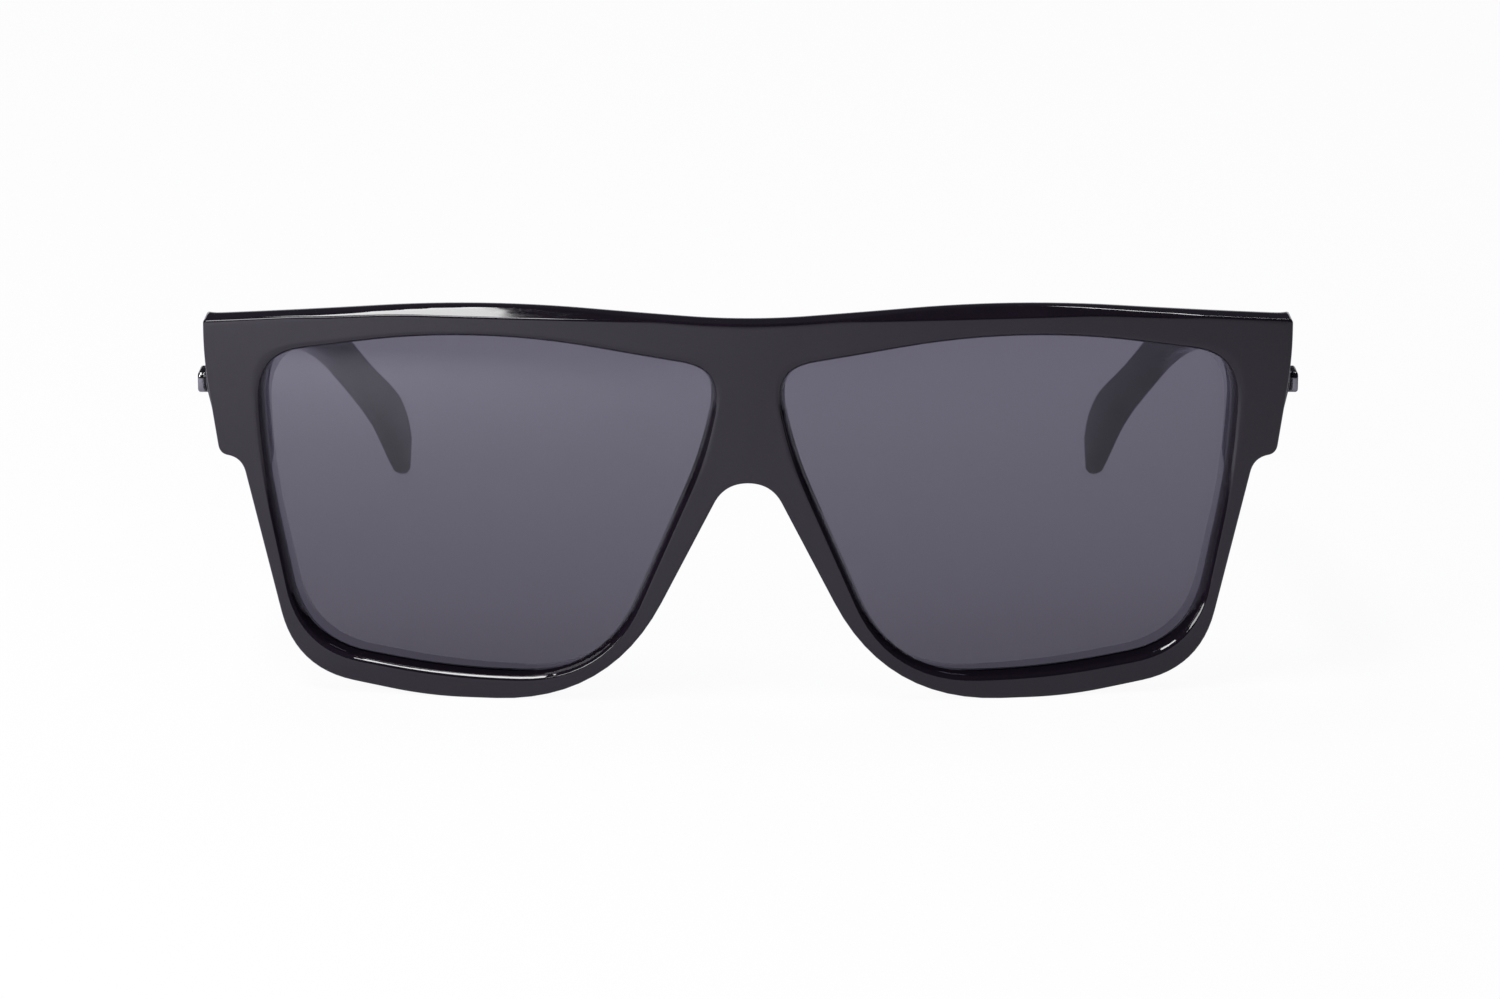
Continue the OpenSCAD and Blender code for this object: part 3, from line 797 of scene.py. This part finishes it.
class EYEWEAR_OT_lenses(Operator):
    """Build the two smoke lenses in their grooves"""

    bl_idname = "eyewear.lenses"
    bl_label = "Lenses"

    def execute(self, context):
        shape = FrontShape(sizes_of(context.scene.eyewear_front))
        lens = sizes_of(context.scene.eyewear_lenses)
        curve_r, width = shape.sizes.curve_r, shape.sizes.lens_w
        tilt = atan((lens.setback_out - lens.setback_nose) / width)
        chord_y = float(sheet_y(width / 2, curve_r, curve_r)) + (lens.setback_nose + lens.setback_out) / 2
        far = sqrt(lens.curve_r ** 2 - (width / 2 / cos(tilt)) ** 2)
        centre_x, centre_y = -far * sin(tilt), chord_y + far * cos(tilt)
        outline = spaced(closed_path(shape.opening_corners()))
        outline = outline + outward(outline) * lens.grip
        middle = outline.mean(0)

        def surface(share, depth):
            """One ring on the lens: at a share of the way to its outline, and a depth under its face."""
            across, up = (middle + (outline - middle) * share).T
            r = lens.curve_r - depth
            y = centre_y - np.sqrt(r * r - (across - centre_x) ** 2 - (up - shape.lens_mid_z) ** 2)
            return shape.turned(np.column_stack([across, y, up]))

        centre_share = 0.02
        shares = np.sqrt(np.linspace(centre_share ** 2, 1, 26))
        rings = [surface(share, 0) for share in shares]
        rings += [surface(share, lens.thickness) for share in shares[::-1]]
        add_pair("smoke_lens", lofted(rings), "smoke_lens", "lens")
        return {"FINISHED"}


class EYEWEAR_OT_nose_pads(Operator):
    """Build the acetate nose pads on the back of the rims"""

    bl_idname = "eyewear.nose_pads"
    bl_label = "Nose Pads"

    def execute(self, context):
        shape = FrontShape(sizes_of(context.scene.eyewear_front))
        pad = sizes_of(context.scene.eyewear_pads)
        s = shape.sizes
        # A pad stands just inside the rim's edge, and its foot goes deeper into the rim there
        flush, nose_buried = 0.03, 2.5 * pad.buried
        # Depth at which the bare rim is turned into place, and the least thickness, in mm
        rim_depth, thin = 0.6, 0.01
        cut_share, steps = 0.45, 33
        middle_z = shape.bridge_foot - pad.drop
        dome_r = ((pad.height / 2) ** 2 + pad.reach ** 2) / (2 * pad.reach)
        opening = closed_path(shape.opening_corners())
        by_nose = opening[(opening[:, 0] < -s.lens_w / 4) & (opening[:, 1] < shape.opening_z(0.8))]
        by_nose = by_nose[np.argsort(by_nose[:, 1])]
        rings = []
        for turn in np.linspace(-1, 1, steps):
            up = (pad.height / 2 - 5 * thin) * sin(turn * pi / 2)
            z = middle_z + up
            dome_y = s.thickness + pad.reach - dome_r + sqrt(dome_r ** 2 - up ** 2)
            # The ends draw back from the nose and sink into the rim's rounded edge
            end_share = min(abs(up) / (pad.height / 2), 1)
            edge_x = shape.foot_x + (s.arch_w / 2 - shape.foot_x) * z / shape.bridge_foot
            nose_x = edge_x + flush + s.edge_back * (1 - sqrt(1 - end_share ** 4))
            rim_x = np.interp(z, by_nose[:, 1], by_nose[:, 0]) - pad.inset
            foot_x, top_x = shape.turned([(rim_x, y + rim_depth, z) for y in (s.thickness, dome_y)])[:, 0]
            rim_y = float(sheet_y(foot_x, s.curve_r - s.thickness, s.curve_r))
            top = max(dome_y, s.thickness + 2 * thin)
            lean = (top - s.thickness) * tan(pad.splay)
            cut = min(pad.edge, cut_share * (top - s.thickness + pad.buried))
            section = closed_path([(nose_x, s.thickness - nose_buried, 0), (foot_x, rim_y - pad.buried, 0),
                                   (top_x, max(top, rim_y + thin), cut), (nose_x + lean, top, cut)], 8)
            rings.append(np.column_stack([section, np.full(len(section), z)]))
        add_pair("acetate_pad", lofted(rings), "acetate", "nose_pad")
        return {"FINISHED"}


# Shape of the temples: each edge point is (back from the hinge seat, up, cut)

TIP_TOP = [(116.8, 13.4, 7), (121.2, 6.6, 4)]
TIP_FOOT = [(110.7, 11.2, 7), (115.6, 5.4, 3)]
TIP_ENDS = (120.9, 1.5), (119.2, 1.1)
SECTION_SPACING = 1.6
# Where the temple thins towards its tip, and where the tip is let down to the table, in mm back
THINNING, LOWERING = (108, 121), (110, 130)
TABLE_GAP = 0.01
# Largest share of a section's height or thickness that an edge, the bevel and an inset foot take
EDGE_SHARE, BEVEL_SHARE, FOOT_SHARE = 0.4, 0.45, 0.3
# The bevel's edges are less rounded than the others
BEVEL_EDGE = 0.6
# The tip's last ring is this share of its first, and narrower by this share of the thickness
TIP_LAST, TIP_NARROWING = 0.02, 0.42


def temple_rings(shape, arm):
    """Rings across the +X temple, from its square end at the hinge over the bend to the round tip."""
    top = shape.end_top - arm.step
    upper = open_path((0, top), [(0.7 * arm.arm_len, top - 0.7 * (top - arm.bend_z), 20),
                                 (arm.arm_len, arm.bend_z, 10), *TIP_TOP], TIP_ENDS[0])
    lower = open_path((0, top - arm.height), [(0.715 * arm.arm_len, arm.bend_z + 1.5, 20),
                                              (arm.arm_len + 2, arm.bend_z - arm.bend_h, 10), *TIP_FOOT],
                      TIP_ENDS[1])
    highs, lows = [], []
    for k in range(len(upper) - 1):
        steps = max(1, int(np.linalg.norm(upper[k + 1] - upper[k]) / SECTION_SPACING))
        for t in np.linspace(0, 1, steps + 1)[:-1]:
            highs.append(upper[k] * (1 - t) + upper[k + 1] * t)
            lows.append(lower[k] * (1 - t) + lower[k + 1] * t)
    highs, lows = np.array(highs + [upper[-1]]), np.array(lows + [lower[-1]])

    def section(high, low, inset=0):
        """One ring between a top and a bottom edge point, all round smaller by an inset."""
        height = np.linalg.norm(high - low)
        up = (high - low) / height
        thinned = float(smooth_step(*THINNING, low[0]))
        thickness = arm.thickness + (arm.tip_thickness - arm.thickness) * thinned
        # The bevel runs out where the temple leaves the end piece's width
        bowed = max(low[0] - arm.straight, 0) ** 2 / (2 * arm.bow_r)
        bevel = max(1 - bowed / arm.bevel_w, 0.0)
        wide = arm.bevel_end + (arm.bevel_w - arm.bevel_end) * bevel
        tall = min(arm.bevel_end + (arm.bevel_h - arm.bevel_end) * bevel, BEVEL_SHARE * height)
        cut = min(arm.edge, EDGE_SHARE * height, EDGE_SHARE * thickness)
        foot = min(inset, FOOT_SHARE * height)
        head, outer, inner = height - foot, inset, thickness - inset
        ring = closed_path([(outer, head, cut), (inner, head, cut), (inner, foot, cut),
                            (min(outer + wide, (outer + inner) / 2), foot, BEVEL_EDGE * cut),
                            (outer, min(foot + tall, (foot + head) / 2), BEVEL_EDGE * cut)], 5)
        y, z = (low + ring[:, 1:2] * up).T
        back = np.maximum(y - arm.straight, 0)
        x = shape.half_w + arm.proud - arm.bow_r + np.sqrt((arm.bow_r - ring[:, 0]) ** 2 - back ** 2)
        return np.column_stack([x, y + shape.seat_y, z])

    rings = []
    for a in np.linspace(0, pi / 2, 4)[:-1]:
        back = (arm.end_gap + arm.end_edge * (1 - cos(a)), 0)
        rings.append(section(highs[0] + back, lows[0] + back, arm.end_edge * (1 - sin(a))))
    highs[0, 0] = lows[0, 0] = arm.end_gap + arm.end_edge
    rings += [section(high, low) for high, low in zip(highs, lows)]
    middle, half = (highs[-1] + lows[-1]) / 2, (highs[-1] - lows[-1]) / 2
    ahead = np.array([half[1], -half[0]]) / np.linalg.norm(half)
    for a in np.linspace(0, pi / 2, 8)[1:]:
        centre, share = middle + ahead * arm.tip_round * sin(a), max(cos(a), TIP_LAST)
        rings.append(section(centre + half * share, centre - half * share,
                             TIP_NARROWING * arm.tip_thickness * (1 - share)))
    return rings


class EYEWEAR_OT_temples(Operator):
    """Build the acetate temples, from the hinge seat over the bend to the thin tip"""

    bl_idname = "eyewear.temples"
    bl_label = "Temples"

    def execute(self, context):
        shape = FrontShape(sizes_of(context.scene.eyewear_front))
        points, faces = lofted(temple_rings(shape, sizes_of(context.scene.eyewear_temples)))
        # The tip is let down until it stands on the table
        points[:, 2] -= (points[:, 2].min() - TABLE_GAP) * smooth_step(*LOWERING, points[:, 1])
        add_pair("acetate_temple", (points, faces), "acetate", "temple", on_arm=True)
        return {"FINISHED"}


# Metal pieces, made by Geometry Nodes where something repeats

# Corners that the round parts are drawn with
BARREL_STEPS, RIVET_STEPS, SHANK_STEPS, HEAD_STEPS = 48, 32, 40, 64


def new_tree(name, sockets):
    """A Geometry Nodes tree and its inputs, whose labels are listed under their kind."""
    tree = bpy.data.node_groups.new(name, "GeometryNodeTree")
    tree.interface.new_socket("Geometry", in_out="OUTPUT", socket_type="NodeSocketGeometry")
    for kind, labels in sockets.items():
        for label in labels:
            tree.interface.new_socket(label, in_out="INPUT", socket_type="NodeSocket" + kind)
    return tree, add_node(tree, "NodeGroupInput").outputs


def end_tree(tree, geometry, slot):
    """Ends a tree in Realize Instances and Set Material."""
    real = add_node(tree, "GeometryNodeRealizeInstances", {"Geometry": geometry})
    smooth = add_node(tree, "GeometryNodeSetShadeSmooth", {"Geometry": real})
    done = add_node(tree, "GeometryNodeSetMaterial", {"Geometry": smooth, "Material": finish(slot)})
    add_node(tree, "NodeGroupOutput", {"Geometry": done})
    return tree


def shape_from_tree(tree, lengths, **others):
    """The shape that a tree makes from lengths in millimetres and other values."""
    holder = bpy.data.objects.new(tree.name, bpy.data.meshes.new(tree.name))
    bpy.context.scene.collection.objects.link(holder)
    modifier = holder.modifiers.new("Nodes", "NODES")
    modifier.node_group = tree
    sockets = {item.name: item.identifier for item in tree.interface.items_tree if item.in_out == "INPUT"}
    for label, value in lengths.items():
        modifier[sockets[label]] = Vector(value) * MM if np.ndim(value) else float(value) * MM
    for label, value in others.items():
        modifier[sockets[label]] = value
    graph = bpy.context.evaluated_depsgraph_get()
    made = bpy.data.meshes.new_from_object(holder.evaluated_get(graph), depsgraph=graph)
    points = np.array([v.co for v in made.vertices], float) / MM
    faces = [tuple(p.vertices) for p in made.polygons]
    bpy.data.objects.remove(holder)
    if not faces:
        raise RuntimeError(f"{tree.name}: the nodes made no faces")
    return points, faces


def moved(tree, geometry, place, **more):
    """A geometry at a place."""
    return add_node(tree, "GeometryNodeTransform", {"Geometry": geometry, "Translation": place, **more})


def cylinder(tree, corners, radius, height):
    """An upright cylinder round the origin."""
    return add_node(tree, "GeometryNodeMeshCylinder",
                    {"Vertices": corners, "Radius": radius, "Depth": height}, fill_type="NGON")


def line_of(tree, given, piece, **turn):
    """Repeats a piece in a straight line, as often and as far apart as the inputs say."""
    line = add_node(tree, "GeometryNodeMeshLine", {"Count": given["Count"], "Start Location": given["First"],
                                                   "Offset": given["Pitch"]}, mode="OFFSET")
    return add_node(tree, "GeometryNodeInstanceOnPoints", {"Points": line, "Instance": piece, **turn})


def barrel_tree():
    """Hinge barrels: rings of a rounded section, stacked along the screw."""
    tree, given = new_tree("Hinge barrels", {"Vector": ("First", "Pitch"), "Int": ("Count",),
                                             "Float": ("Radius", "Bore", "Height", "Edge")})
    wall = add_math(tree, "SUBTRACT", given["Radius"], given["Bore"])
    middle = add_math(tree, "MULTIPLY", add_math(tree, "ADD", given["Radius"], given["Bore"]), 0.5)
    circle = add_node(tree, "GeometryNodeCurvePrimitiveCircle",
                      {"Resolution": BARREL_STEPS, "Radius": middle})
    section = add_node(tree, "GeometryNodeCurvePrimitiveQuadrilateral",
                       {"Width": wall, "Height": given["Height"]})
    rounding = add_node(tree, "GeometryNodeFilletCurve",
                        {"Curve": section, "Count": 3, "Radius": given["Edge"]}, mode="POLY")
    ring = add_node(tree, "GeometryNodeCurveToMesh", {"Curve": circle, "Profile Curve": rounding})
    return end_tree(tree, line_of(tree, given, ring), "hinge_steel")


def rivet_tree():
    """Rivets: a shank with a domed head, repeated along the temple."""
    tree, given = new_tree("Rivets", {"Vector": ("First", "Pitch", "Head", "Turn"), "Int": ("Count",),
                                      "Float": ("Radius", "Length")})
    shank = cylinder(tree, RIVET_STEPS, given["Radius"], given["Length"])
    shank_end = add_node(tree, "ShaderNodeCombineXYZ",
                         {"Z": add_math(tree, "MULTIPLY", given["Length"], -0.5)})
    ball = add_node(tree, "GeometryNodeMeshUVSphere",
                    {"Segments": RIVET_STEPS, "Rings": RIVET_STEPS // 2, "Radius": 1.0})
    head = moved(tree, ball, shank_end, Scale=given["Head"])
    both = add_node(tree, "GeometryNodeJoinGeometry", {"Geometry": [shank, head]})
    return end_tree(tree, line_of(tree, given, both, Rotation=given["Turn"]), "rivet_steel")


def screw_tree():
    """A hinge screw: shank and cheese head, with the driver slot cut from the head."""
    tree, given = new_tree("Slotted screw", {
        "Vector": ("Middle", "Head Middle", "Slot Middle", "Slot"),
        "Float": ("Shank Radius", "Shank Length", "Head Radius", "Head Height")})
    shank = cylinder(tree, SHANK_STEPS, given["Shank Radius"], given["Shank Length"])
    head = cylinder(tree, HEAD_STEPS, given["Head Radius"], given["Head Height"])
    cutter = add_node(tree, "GeometryNodeMeshCube", {"Size": given["Slot"]})
    slotted = add_node(tree, "GeometryNodeMeshBoolean", {
        "Mesh 1": moved(tree, head, given["Head Middle"]),
        "Mesh 2": moved(tree, cutter, given["Slot Middle"])}, operation="DIFFERENCE")
    both = add_node(tree, "GeometryNodeJoinGeometry",
                    {"Geometry": [moved(tree, shank, given["Middle"]), slotted]})
    return end_tree(tree, both, "screw_steel")


class EYEWEAR_OT_hinges(Operator):
    """Build the hinge halves: stacked barrels, their webs and the leaves let into the acetate"""

    bl_idname = "eyewear.hinges"
    bl_label = "Hinges"

    def execute(self, context):
        hinge = sizes_of(context.scene.eyewear_hinges)
        tree = barrel_tree()
        for name, side in SIDES.items():
            screw_low, screw_high = node_box(f"hinge_screw_{name}")
            axis_x, axis_y = (screw_low + screw_high)[:2] / 2
            # The front has the first, third and fifth barrel, the temple the two between them
            for part, body, first, count, gap in (("front", "front", 0, 3, 0),
                                                  ("temple", f"{name}_arm", 1, 2, hinge.knuckle_gap)):
                low, high = node_box(f"{part}_hinge_{name}")
                leaf, web = self.plates(hinge, part, side, axis_x, axis_y, low, high)
                feet = [screw_low[2] + i * hinge.barrel_h for i in range(first, 5, 2)]
                shapes = [shape_from_tree(tree, {
                    "First": (axis_x, axis_y, feet[0] + hinge.barrel_h / 2),
                    "Pitch": (0, 0, 2 * hinge.barrel_h), "Height": hinge.barrel_h - 2 * gap,
                    "Radius": hinge.barrel_r, "Bore": hinge.bore_r, "Edge": hinge.edge}, Count=count)]
                shapes.append(beveled_box(*leaf, (low[2], high[2]), hinge.edge))
                shapes += [beveled_box(*web, (z + gap, z + hinge.barrel_h - gap), hinge.edge) for z in feet]
                add_piece(f"hinge_{part}_{name}", joined(*shapes), "hinge_steel", body,
                          f"{part}_hinge_{name}", merge=FINE_MERGE, crisp=True)
        return {"FINISHED"}

    def plates(self, hinge, part, side, axis_x, axis_y, low, high):
        """Widths and depths of a half's leaf and of its webs, which keep clear of the screw's bore."""
        barrel_r, leaf_t = hinge.barrel_r, hinge.leaf_t
        inner, outer = (low[0], high[0])[::side]
        if part == "front":
            leaf_y = axis_y - barrel_r - hinge.front_gap
            leaf = (inner, axis_x + side * (barrel_r - hinge.front_gap)), (leaf_y - leaf_t, leaf_y)
            web = ((axis_x - side * barrel_r, axis_x + side * barrel_r / 2),
                   (leaf_y - leaf_t / 2, axis_y - hinge.bore_r))
        else:
            leaf_y = axis_y - barrel_r + hinge.arm_lap
            leaf = (outer, outer - side * leaf_t), (leaf_y, high[1])
            web = ((axis_x + side * (hinge.bore_r + hinge.web_gap), outer - side * leaf_t / 2),
                   (leaf_y, axis_y + barrel_r))
        return leaf, web


class EYEWEAR_OT_screws(Operator):
    """Build the slotted hinge screws"""

    bl_idname = "eyewear.screws"
    bl_label = "Screws"

    def execute(self, context):
        hinge = sizes_of(context.scene.eyewear_hinges)
        tree = screw_tree()
        for name in SIDES:
            low, high = node_box(f"hinge_screw_{name}")
            leaf_top = node_box(f"front_hinge_{name}")[1][2]
            x, y, _ = (low + high) / 2
            head_r, head_h, shank_len = (high[0] - low[0]) / 2, high[2] - leaf_top, leaf_top - low[2]
            # The slot's cutter reaches past the head on both sides, and its upper half over the head
            shape = shape_from_tree(tree, {
                "Middle": (x, y, low[2] + shank_len / 2), "Head Middle": (x, y, leaf_top + head_h / 2),
                "Shank Radius": hinge.bore_r - hinge.screw_gap, "Shank Length": shank_len,
                "Head Radius": head_r, "Head Height": head_h,
                "Slot Middle": (x, y, high[2]), "Slot": (4 * head_r, hinge.slot_w, 2 * hinge.slot_d)})
            add_piece(f"screw_{name}", shape, "screw_steel", "front", f"hinge_screw_{name}",
                      merge=FINE_MERGE, crisp=True)
        return {"FINISHED"}


class EYEWEAR_OT_rivets(Operator):
    """Build the rivets that hold leaf and badge to each temple"""

    bl_idname = "eyewear.rivets"
    bl_label = "Rivets"

    def execute(self, context):
        hinge = sizes_of(context.scene.eyewear_hinges)
        head_r = 1.5 * hinge.rivet_r
        tree = rivet_tree()
        for name, side in SIDES.items():
            low, high = node_box(f"rivet_front_{name}")
            first, second = (low + high) / 2, sum(node_box(f"rivet_rear_{name}")) / 2
            shape = shape_from_tree(tree, {
                "First": first, "Pitch": second - first, "Radius": hinge.rivet_r, "Length": high[0] - low[0],
                "Head": (head_r, head_r, hinge.rivet_head)}, Count=2, Turn=Vector((0, side * pi / 2, 0)))
            add_piece(f"rivets_{name}", shape, "rivet_steel", f"{name}_arm",
                      f"rivet_front_{name}", f"rivet_rear_{name}", merge=FINE_MERGE, crisp=True)
        return {"FINISHED"}


class EYEWEAR_OT_badges(Operator):
    """Build the plain metal badges on the temples"""

    bl_idname = "eyewear.badges"
    bl_label = "Badges"

    def execute(self, context):
        hinge = sizes_of(context.scene.eyewear_hinges)
        edge, cut, buried = hinge.badge_edge, hinge.badge_corner, 0.02
        for name, side in SIDES.items():
            low, high = node_box(f"badge_{name}")
            base_x = (low if side > 0 else high)[0]
            face_x = high[0] - low[0] - edge
            outline = closed_path([(low[1], low[2], cut), (high[1], low[2], cut),
                                   (high[1], high[2], cut), (low[1], high[2], cut)], 6)
            normals, middle = outward(outline), outline.mean(0)
            angles = np.linspace(0, pi / 2, 5)
            profile = [(0, -buried)] + [(edge * (1 - cos(a)), face_x + edge * sin(a)) for a in angles]
            flats = [(outline - normals * inset, height) for inset, height in profile]
            flat, height = flats[-1]
            flats += [(middle + (flat - middle) * share, height) for share in (0.7, 0.35)]
            rings = [np.column_stack([np.full(len(ring), base_x + side * x), ring]) for ring, x in flats]
            add_piece(f"metal_badge_{name}", lofted(rings), "badge_steel", f"{name}_arm", f"badge_{name}",
                      merge=FINE_MERGE)
        return {"FINISHED"}


class EYEWEAR_OT_core_wires(Operator):
    """Give the core wires inside the temples their drawn steel"""

    bl_idname = "eyewear.core_wires"
    bl_label = "Core Wires"

    def execute(self, context):
        for name in SIDES:
            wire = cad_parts[f"core_wire_{name}"]
            wire.data.materials.clear()
            wire.data.materials.append(finish("wire_steel"))
        return {"FINISHED"}


# Studio

WHITE = (1, 1, 1, 1)
# Place, size and power of each lamp in metres and watts, and the point that it faces. The two
# softboxes overhead face straight down, and their power is a share of the softbox power.
OVERHEAD = {
    "Back softbox": ((-0.29, 0.47, 1.05), (0.275, 0.4), 0.6),
    "Overhead softbox": ((-0.315, -0.33, 1.05), (0.29, 0.4), 1.1),
}
AIMED = {
    "Front-left softbox": ((-0.35, -0.42, 0.26), (0.25, 0.25), 2.0, (-0.16, -0.13, 0)),
    "Back strip": ((0.3, 1.1, 0.8), (0.25, 0.12), 0.8, (0, 0, 0.03)),
}


def pale_floor(paper, pale_share, gloss_share):
    """Matt cool-white floor paper. A share of its look is pure white, so that its shadows stay faint.

    A mirror image keeps more of the lamps' pattern on the floor. The pulp's grains are drawn 2 mm wide.
    """
    material, tree, place = new_material("White floor paper")
    matt = add_node(tree, "ShaderNodeBsdfPrincipled", {
        "Base Color": paper, "Roughness": 0.9, "Specular IOR Level": 0.1,
        "Normal": add_bump(tree, add_noise(tree, place, 2, 2.0), 0.05, 0.02)})
    white = add_node(tree, "ShaderNodeEmission", {"Color": WHITE, "Strength": 1.0})
    path = add_node(tree, "ShaderNodeLightPath").outputs
    seen = add_math(tree, "MAXIMUM", path["Is Camera Ray"], path["Is Transmission Ray"])
    share = add_math(tree, "MAXIMUM", add_math(tree, "MULTIPLY", seen, pale_share),
                     add_math(tree, "MULTIPLY", path["Is Glossy Ray"], gloss_share))
    mixed = add_node(tree, "ShaderNodeMixShader", {0: share, 1: matt, 2: white})
    add_node(tree, "ShaderNodeOutputMaterial", {"Surface": mixed})
    return material


def studio_world(ceiling, fill):
    """White backdrop behind the glasses in a dim room; a plain soft fill lights the pieces."""
    world = bpy.data.worlds.new("Studio")
    bpy.context.scene.world = world
    world.use_nodes = True
    tree = world.node_tree
    tree.nodes.clear()
    place = add_node(tree, "ShaderNodeTexCoord").outputs["Generated"]
    ray = add_node(tree, "ShaderNodeSeparateXYZ", {"Vector": place}).outputs
    above = add_range(tree, ray["Z"], 0.0, 0.12, interpolation_type="SMOOTHSTEP")
    in_front = add_range(tree, ray["Y"], 0.3, -0.1, interpolation_type="SMOOTHSTEP")
    walls = add_node(tree, "ShaderNodeValToRGB", {"Fac": add_math(tree, "MAXIMUM", above, in_front)})
    walls.color_ramp.elements[0].color = WHITE
    walls.color_ramp.elements[1].color = ceiling
    lit, mirrored, white = (add_node(tree, "ShaderNodeBackground", {"Color": tint, "Strength": strength})
                            for tint, strength in ((WHITE, fill), (walls, 1.0), (WHITE, 1.0)))
    path = add_node(tree, "ShaderNodeLightPath").outputs
    shown = add_math(tree, "MAXIMUM", path["Is Glossy Ray"], path["Is Transmission Ray"])
    room = add_node(tree, "ShaderNodeMixShader", {0: shown, 1: lit, 2: mirrored})
    final = add_node(tree, "ShaderNodeMixShader", {0: path["Is Camera Ray"], 1: room, 2: white})
    add_node(tree, "ShaderNodeOutputWorld", {"Surface": final})


def softbox(name, place, size, power, aim=None):
    """A rectangular softbox that faces a point, or straight down."""
    data = bpy.data.lights.new(name, "AREA")
    data.shape = "RECTANGLE"
    data.size, data.size_y = size
    data.energy = power
    lamp = bpy.data.objects.new(name, data)
    bpy.context.scene.collection.objects.link(lamp)
    lamp.location = place
    if aim:
        lamp.rotation_euler = (Vector(aim) - Vector(place)).to_track_quat("-Z", "Y").to_euler()


class EYEWEAR_OT_studio(Operator):
    """Set up the camera, the pale floor and the soft lights"""

    bl_idname = "eyewear.studio"
    bl_label = "Studio"

    def execute(self, context):
        scene = context.scene
        studio, colours = scene.eyewear_studio, scene.eyewear_colours
        back = Vector((0, -cos(studio.elevation), sin(studio.elevation)))
        data = bpy.data.cameras.new("Camera")
        data.sensor_width = 36
        data.lens = studio.focal
        # The photograph is 1500 px wide, and the aim lies 2 px left of its middle and 0.5 px below it
        data.shift_x, data.shift_y = 2 / 1500, 0.5 / 1500
        data.clip_start, data.clip_end = 0.05, 50
        camera = bpy.data.objects.new("Camera", data)
        scene.collection.objects.link(camera)
        camera.location = Vector((0, CAD_LOW.y, studio.aim_z)) + back * studio.distance
        camera.rotation_euler = (-back).to_track_quat("-Z", "Y").to_euler()
        scene.camera = camera

        half = studio.floor_w / 2
        mesh = bpy.data.meshes.new("floor")
        mesh.from_pydata([(-half, -half, 0), (half, -half, 0), (half, half, 0), (-half, half, 0)],
                         [], [(0, 1, 2, 3)])
        mesh.materials.append(pale_floor(colours.paper, studio.pale_share, studio.gloss_share))
        floor = bpy.data.objects.new("floor", mesh)
        scene.collection.objects.link(floor)

        studio_world(colours.ceiling, studio.fill)
        for name, (place, size, share) in OVERHEAD.items():
            softbox(name, place, size, share * studio.softbox_power)
        for name, lamp in AIMED.items():
            softbox(name, *lamp)
        scene.view_settings.view_transform = "Standard"
        return {"FINISHED"}


class EYEWEAR_PT_panel(Panel):
    """Lists the pieces of the sunglasses"""

    bl_idname = "EYEWEAR_PT_panel"
    bl_label = "Flat-Top Sunglasses"
    bl_space_type = "VIEW_3D"
    bl_region_type = "UI"
    bl_category = "Eyewear"

    def draw(self, context):
        for group in GROUPS:
            box = self.layout.box()
            settings = getattr(context.scene, group)
            for prop in settings.bl_rna.properties:
                if prop.identifier not in ("rna_type", "name"):
                    box.prop(settings, prop.identifier)
        for operator in OPERATORS:
            self.layout.operator(operator.bl_idname)


GROUPS = {
    "eyewear_front": FrontSizes,
    "eyewear_lenses": LensSizes,
    "eyewear_pads": PadSizes,
    "eyewear_temples": TempleSizes,
    "eyewear_hinges": HingeSizes,
    "eyewear_colours": FinishColours,
    "eyewear_studio": StudioSettings,
}
OPERATORS = (EYEWEAR_OT_front, EYEWEAR_OT_lenses, EYEWEAR_OT_nose_pads, EYEWEAR_OT_temples,
             EYEWEAR_OT_hinges, EYEWEAR_OT_screws, EYEWEAR_OT_rivets, EYEWEAR_OT_badges,
             EYEWEAR_OT_core_wires, EYEWEAR_OT_studio)
CLASSES = (*GROUPS.values(), *OPERATORS, EYEWEAR_PT_panel)


def register():
    for kind in CLASSES:
        bpy.utils.register_class(kind)
    for name, group in GROUPS.items():
        setattr(bpy.types.Scene, name, PointerProperty(type=group))


def unregister():
    for name in GROUPS:
        delattr(bpy.types.Scene, name)
    for kind in reversed(CLASSES):
        bpy.utils.unregister_class(kind)


def main():
    """Registers the add-on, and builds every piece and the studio."""
    register()
    for operator in OPERATORS:
        family, name = operator.bl_idname.split(".")
        getattr(getattr(bpy.ops, family), name)()


if __name__ == "__main__":
    main()
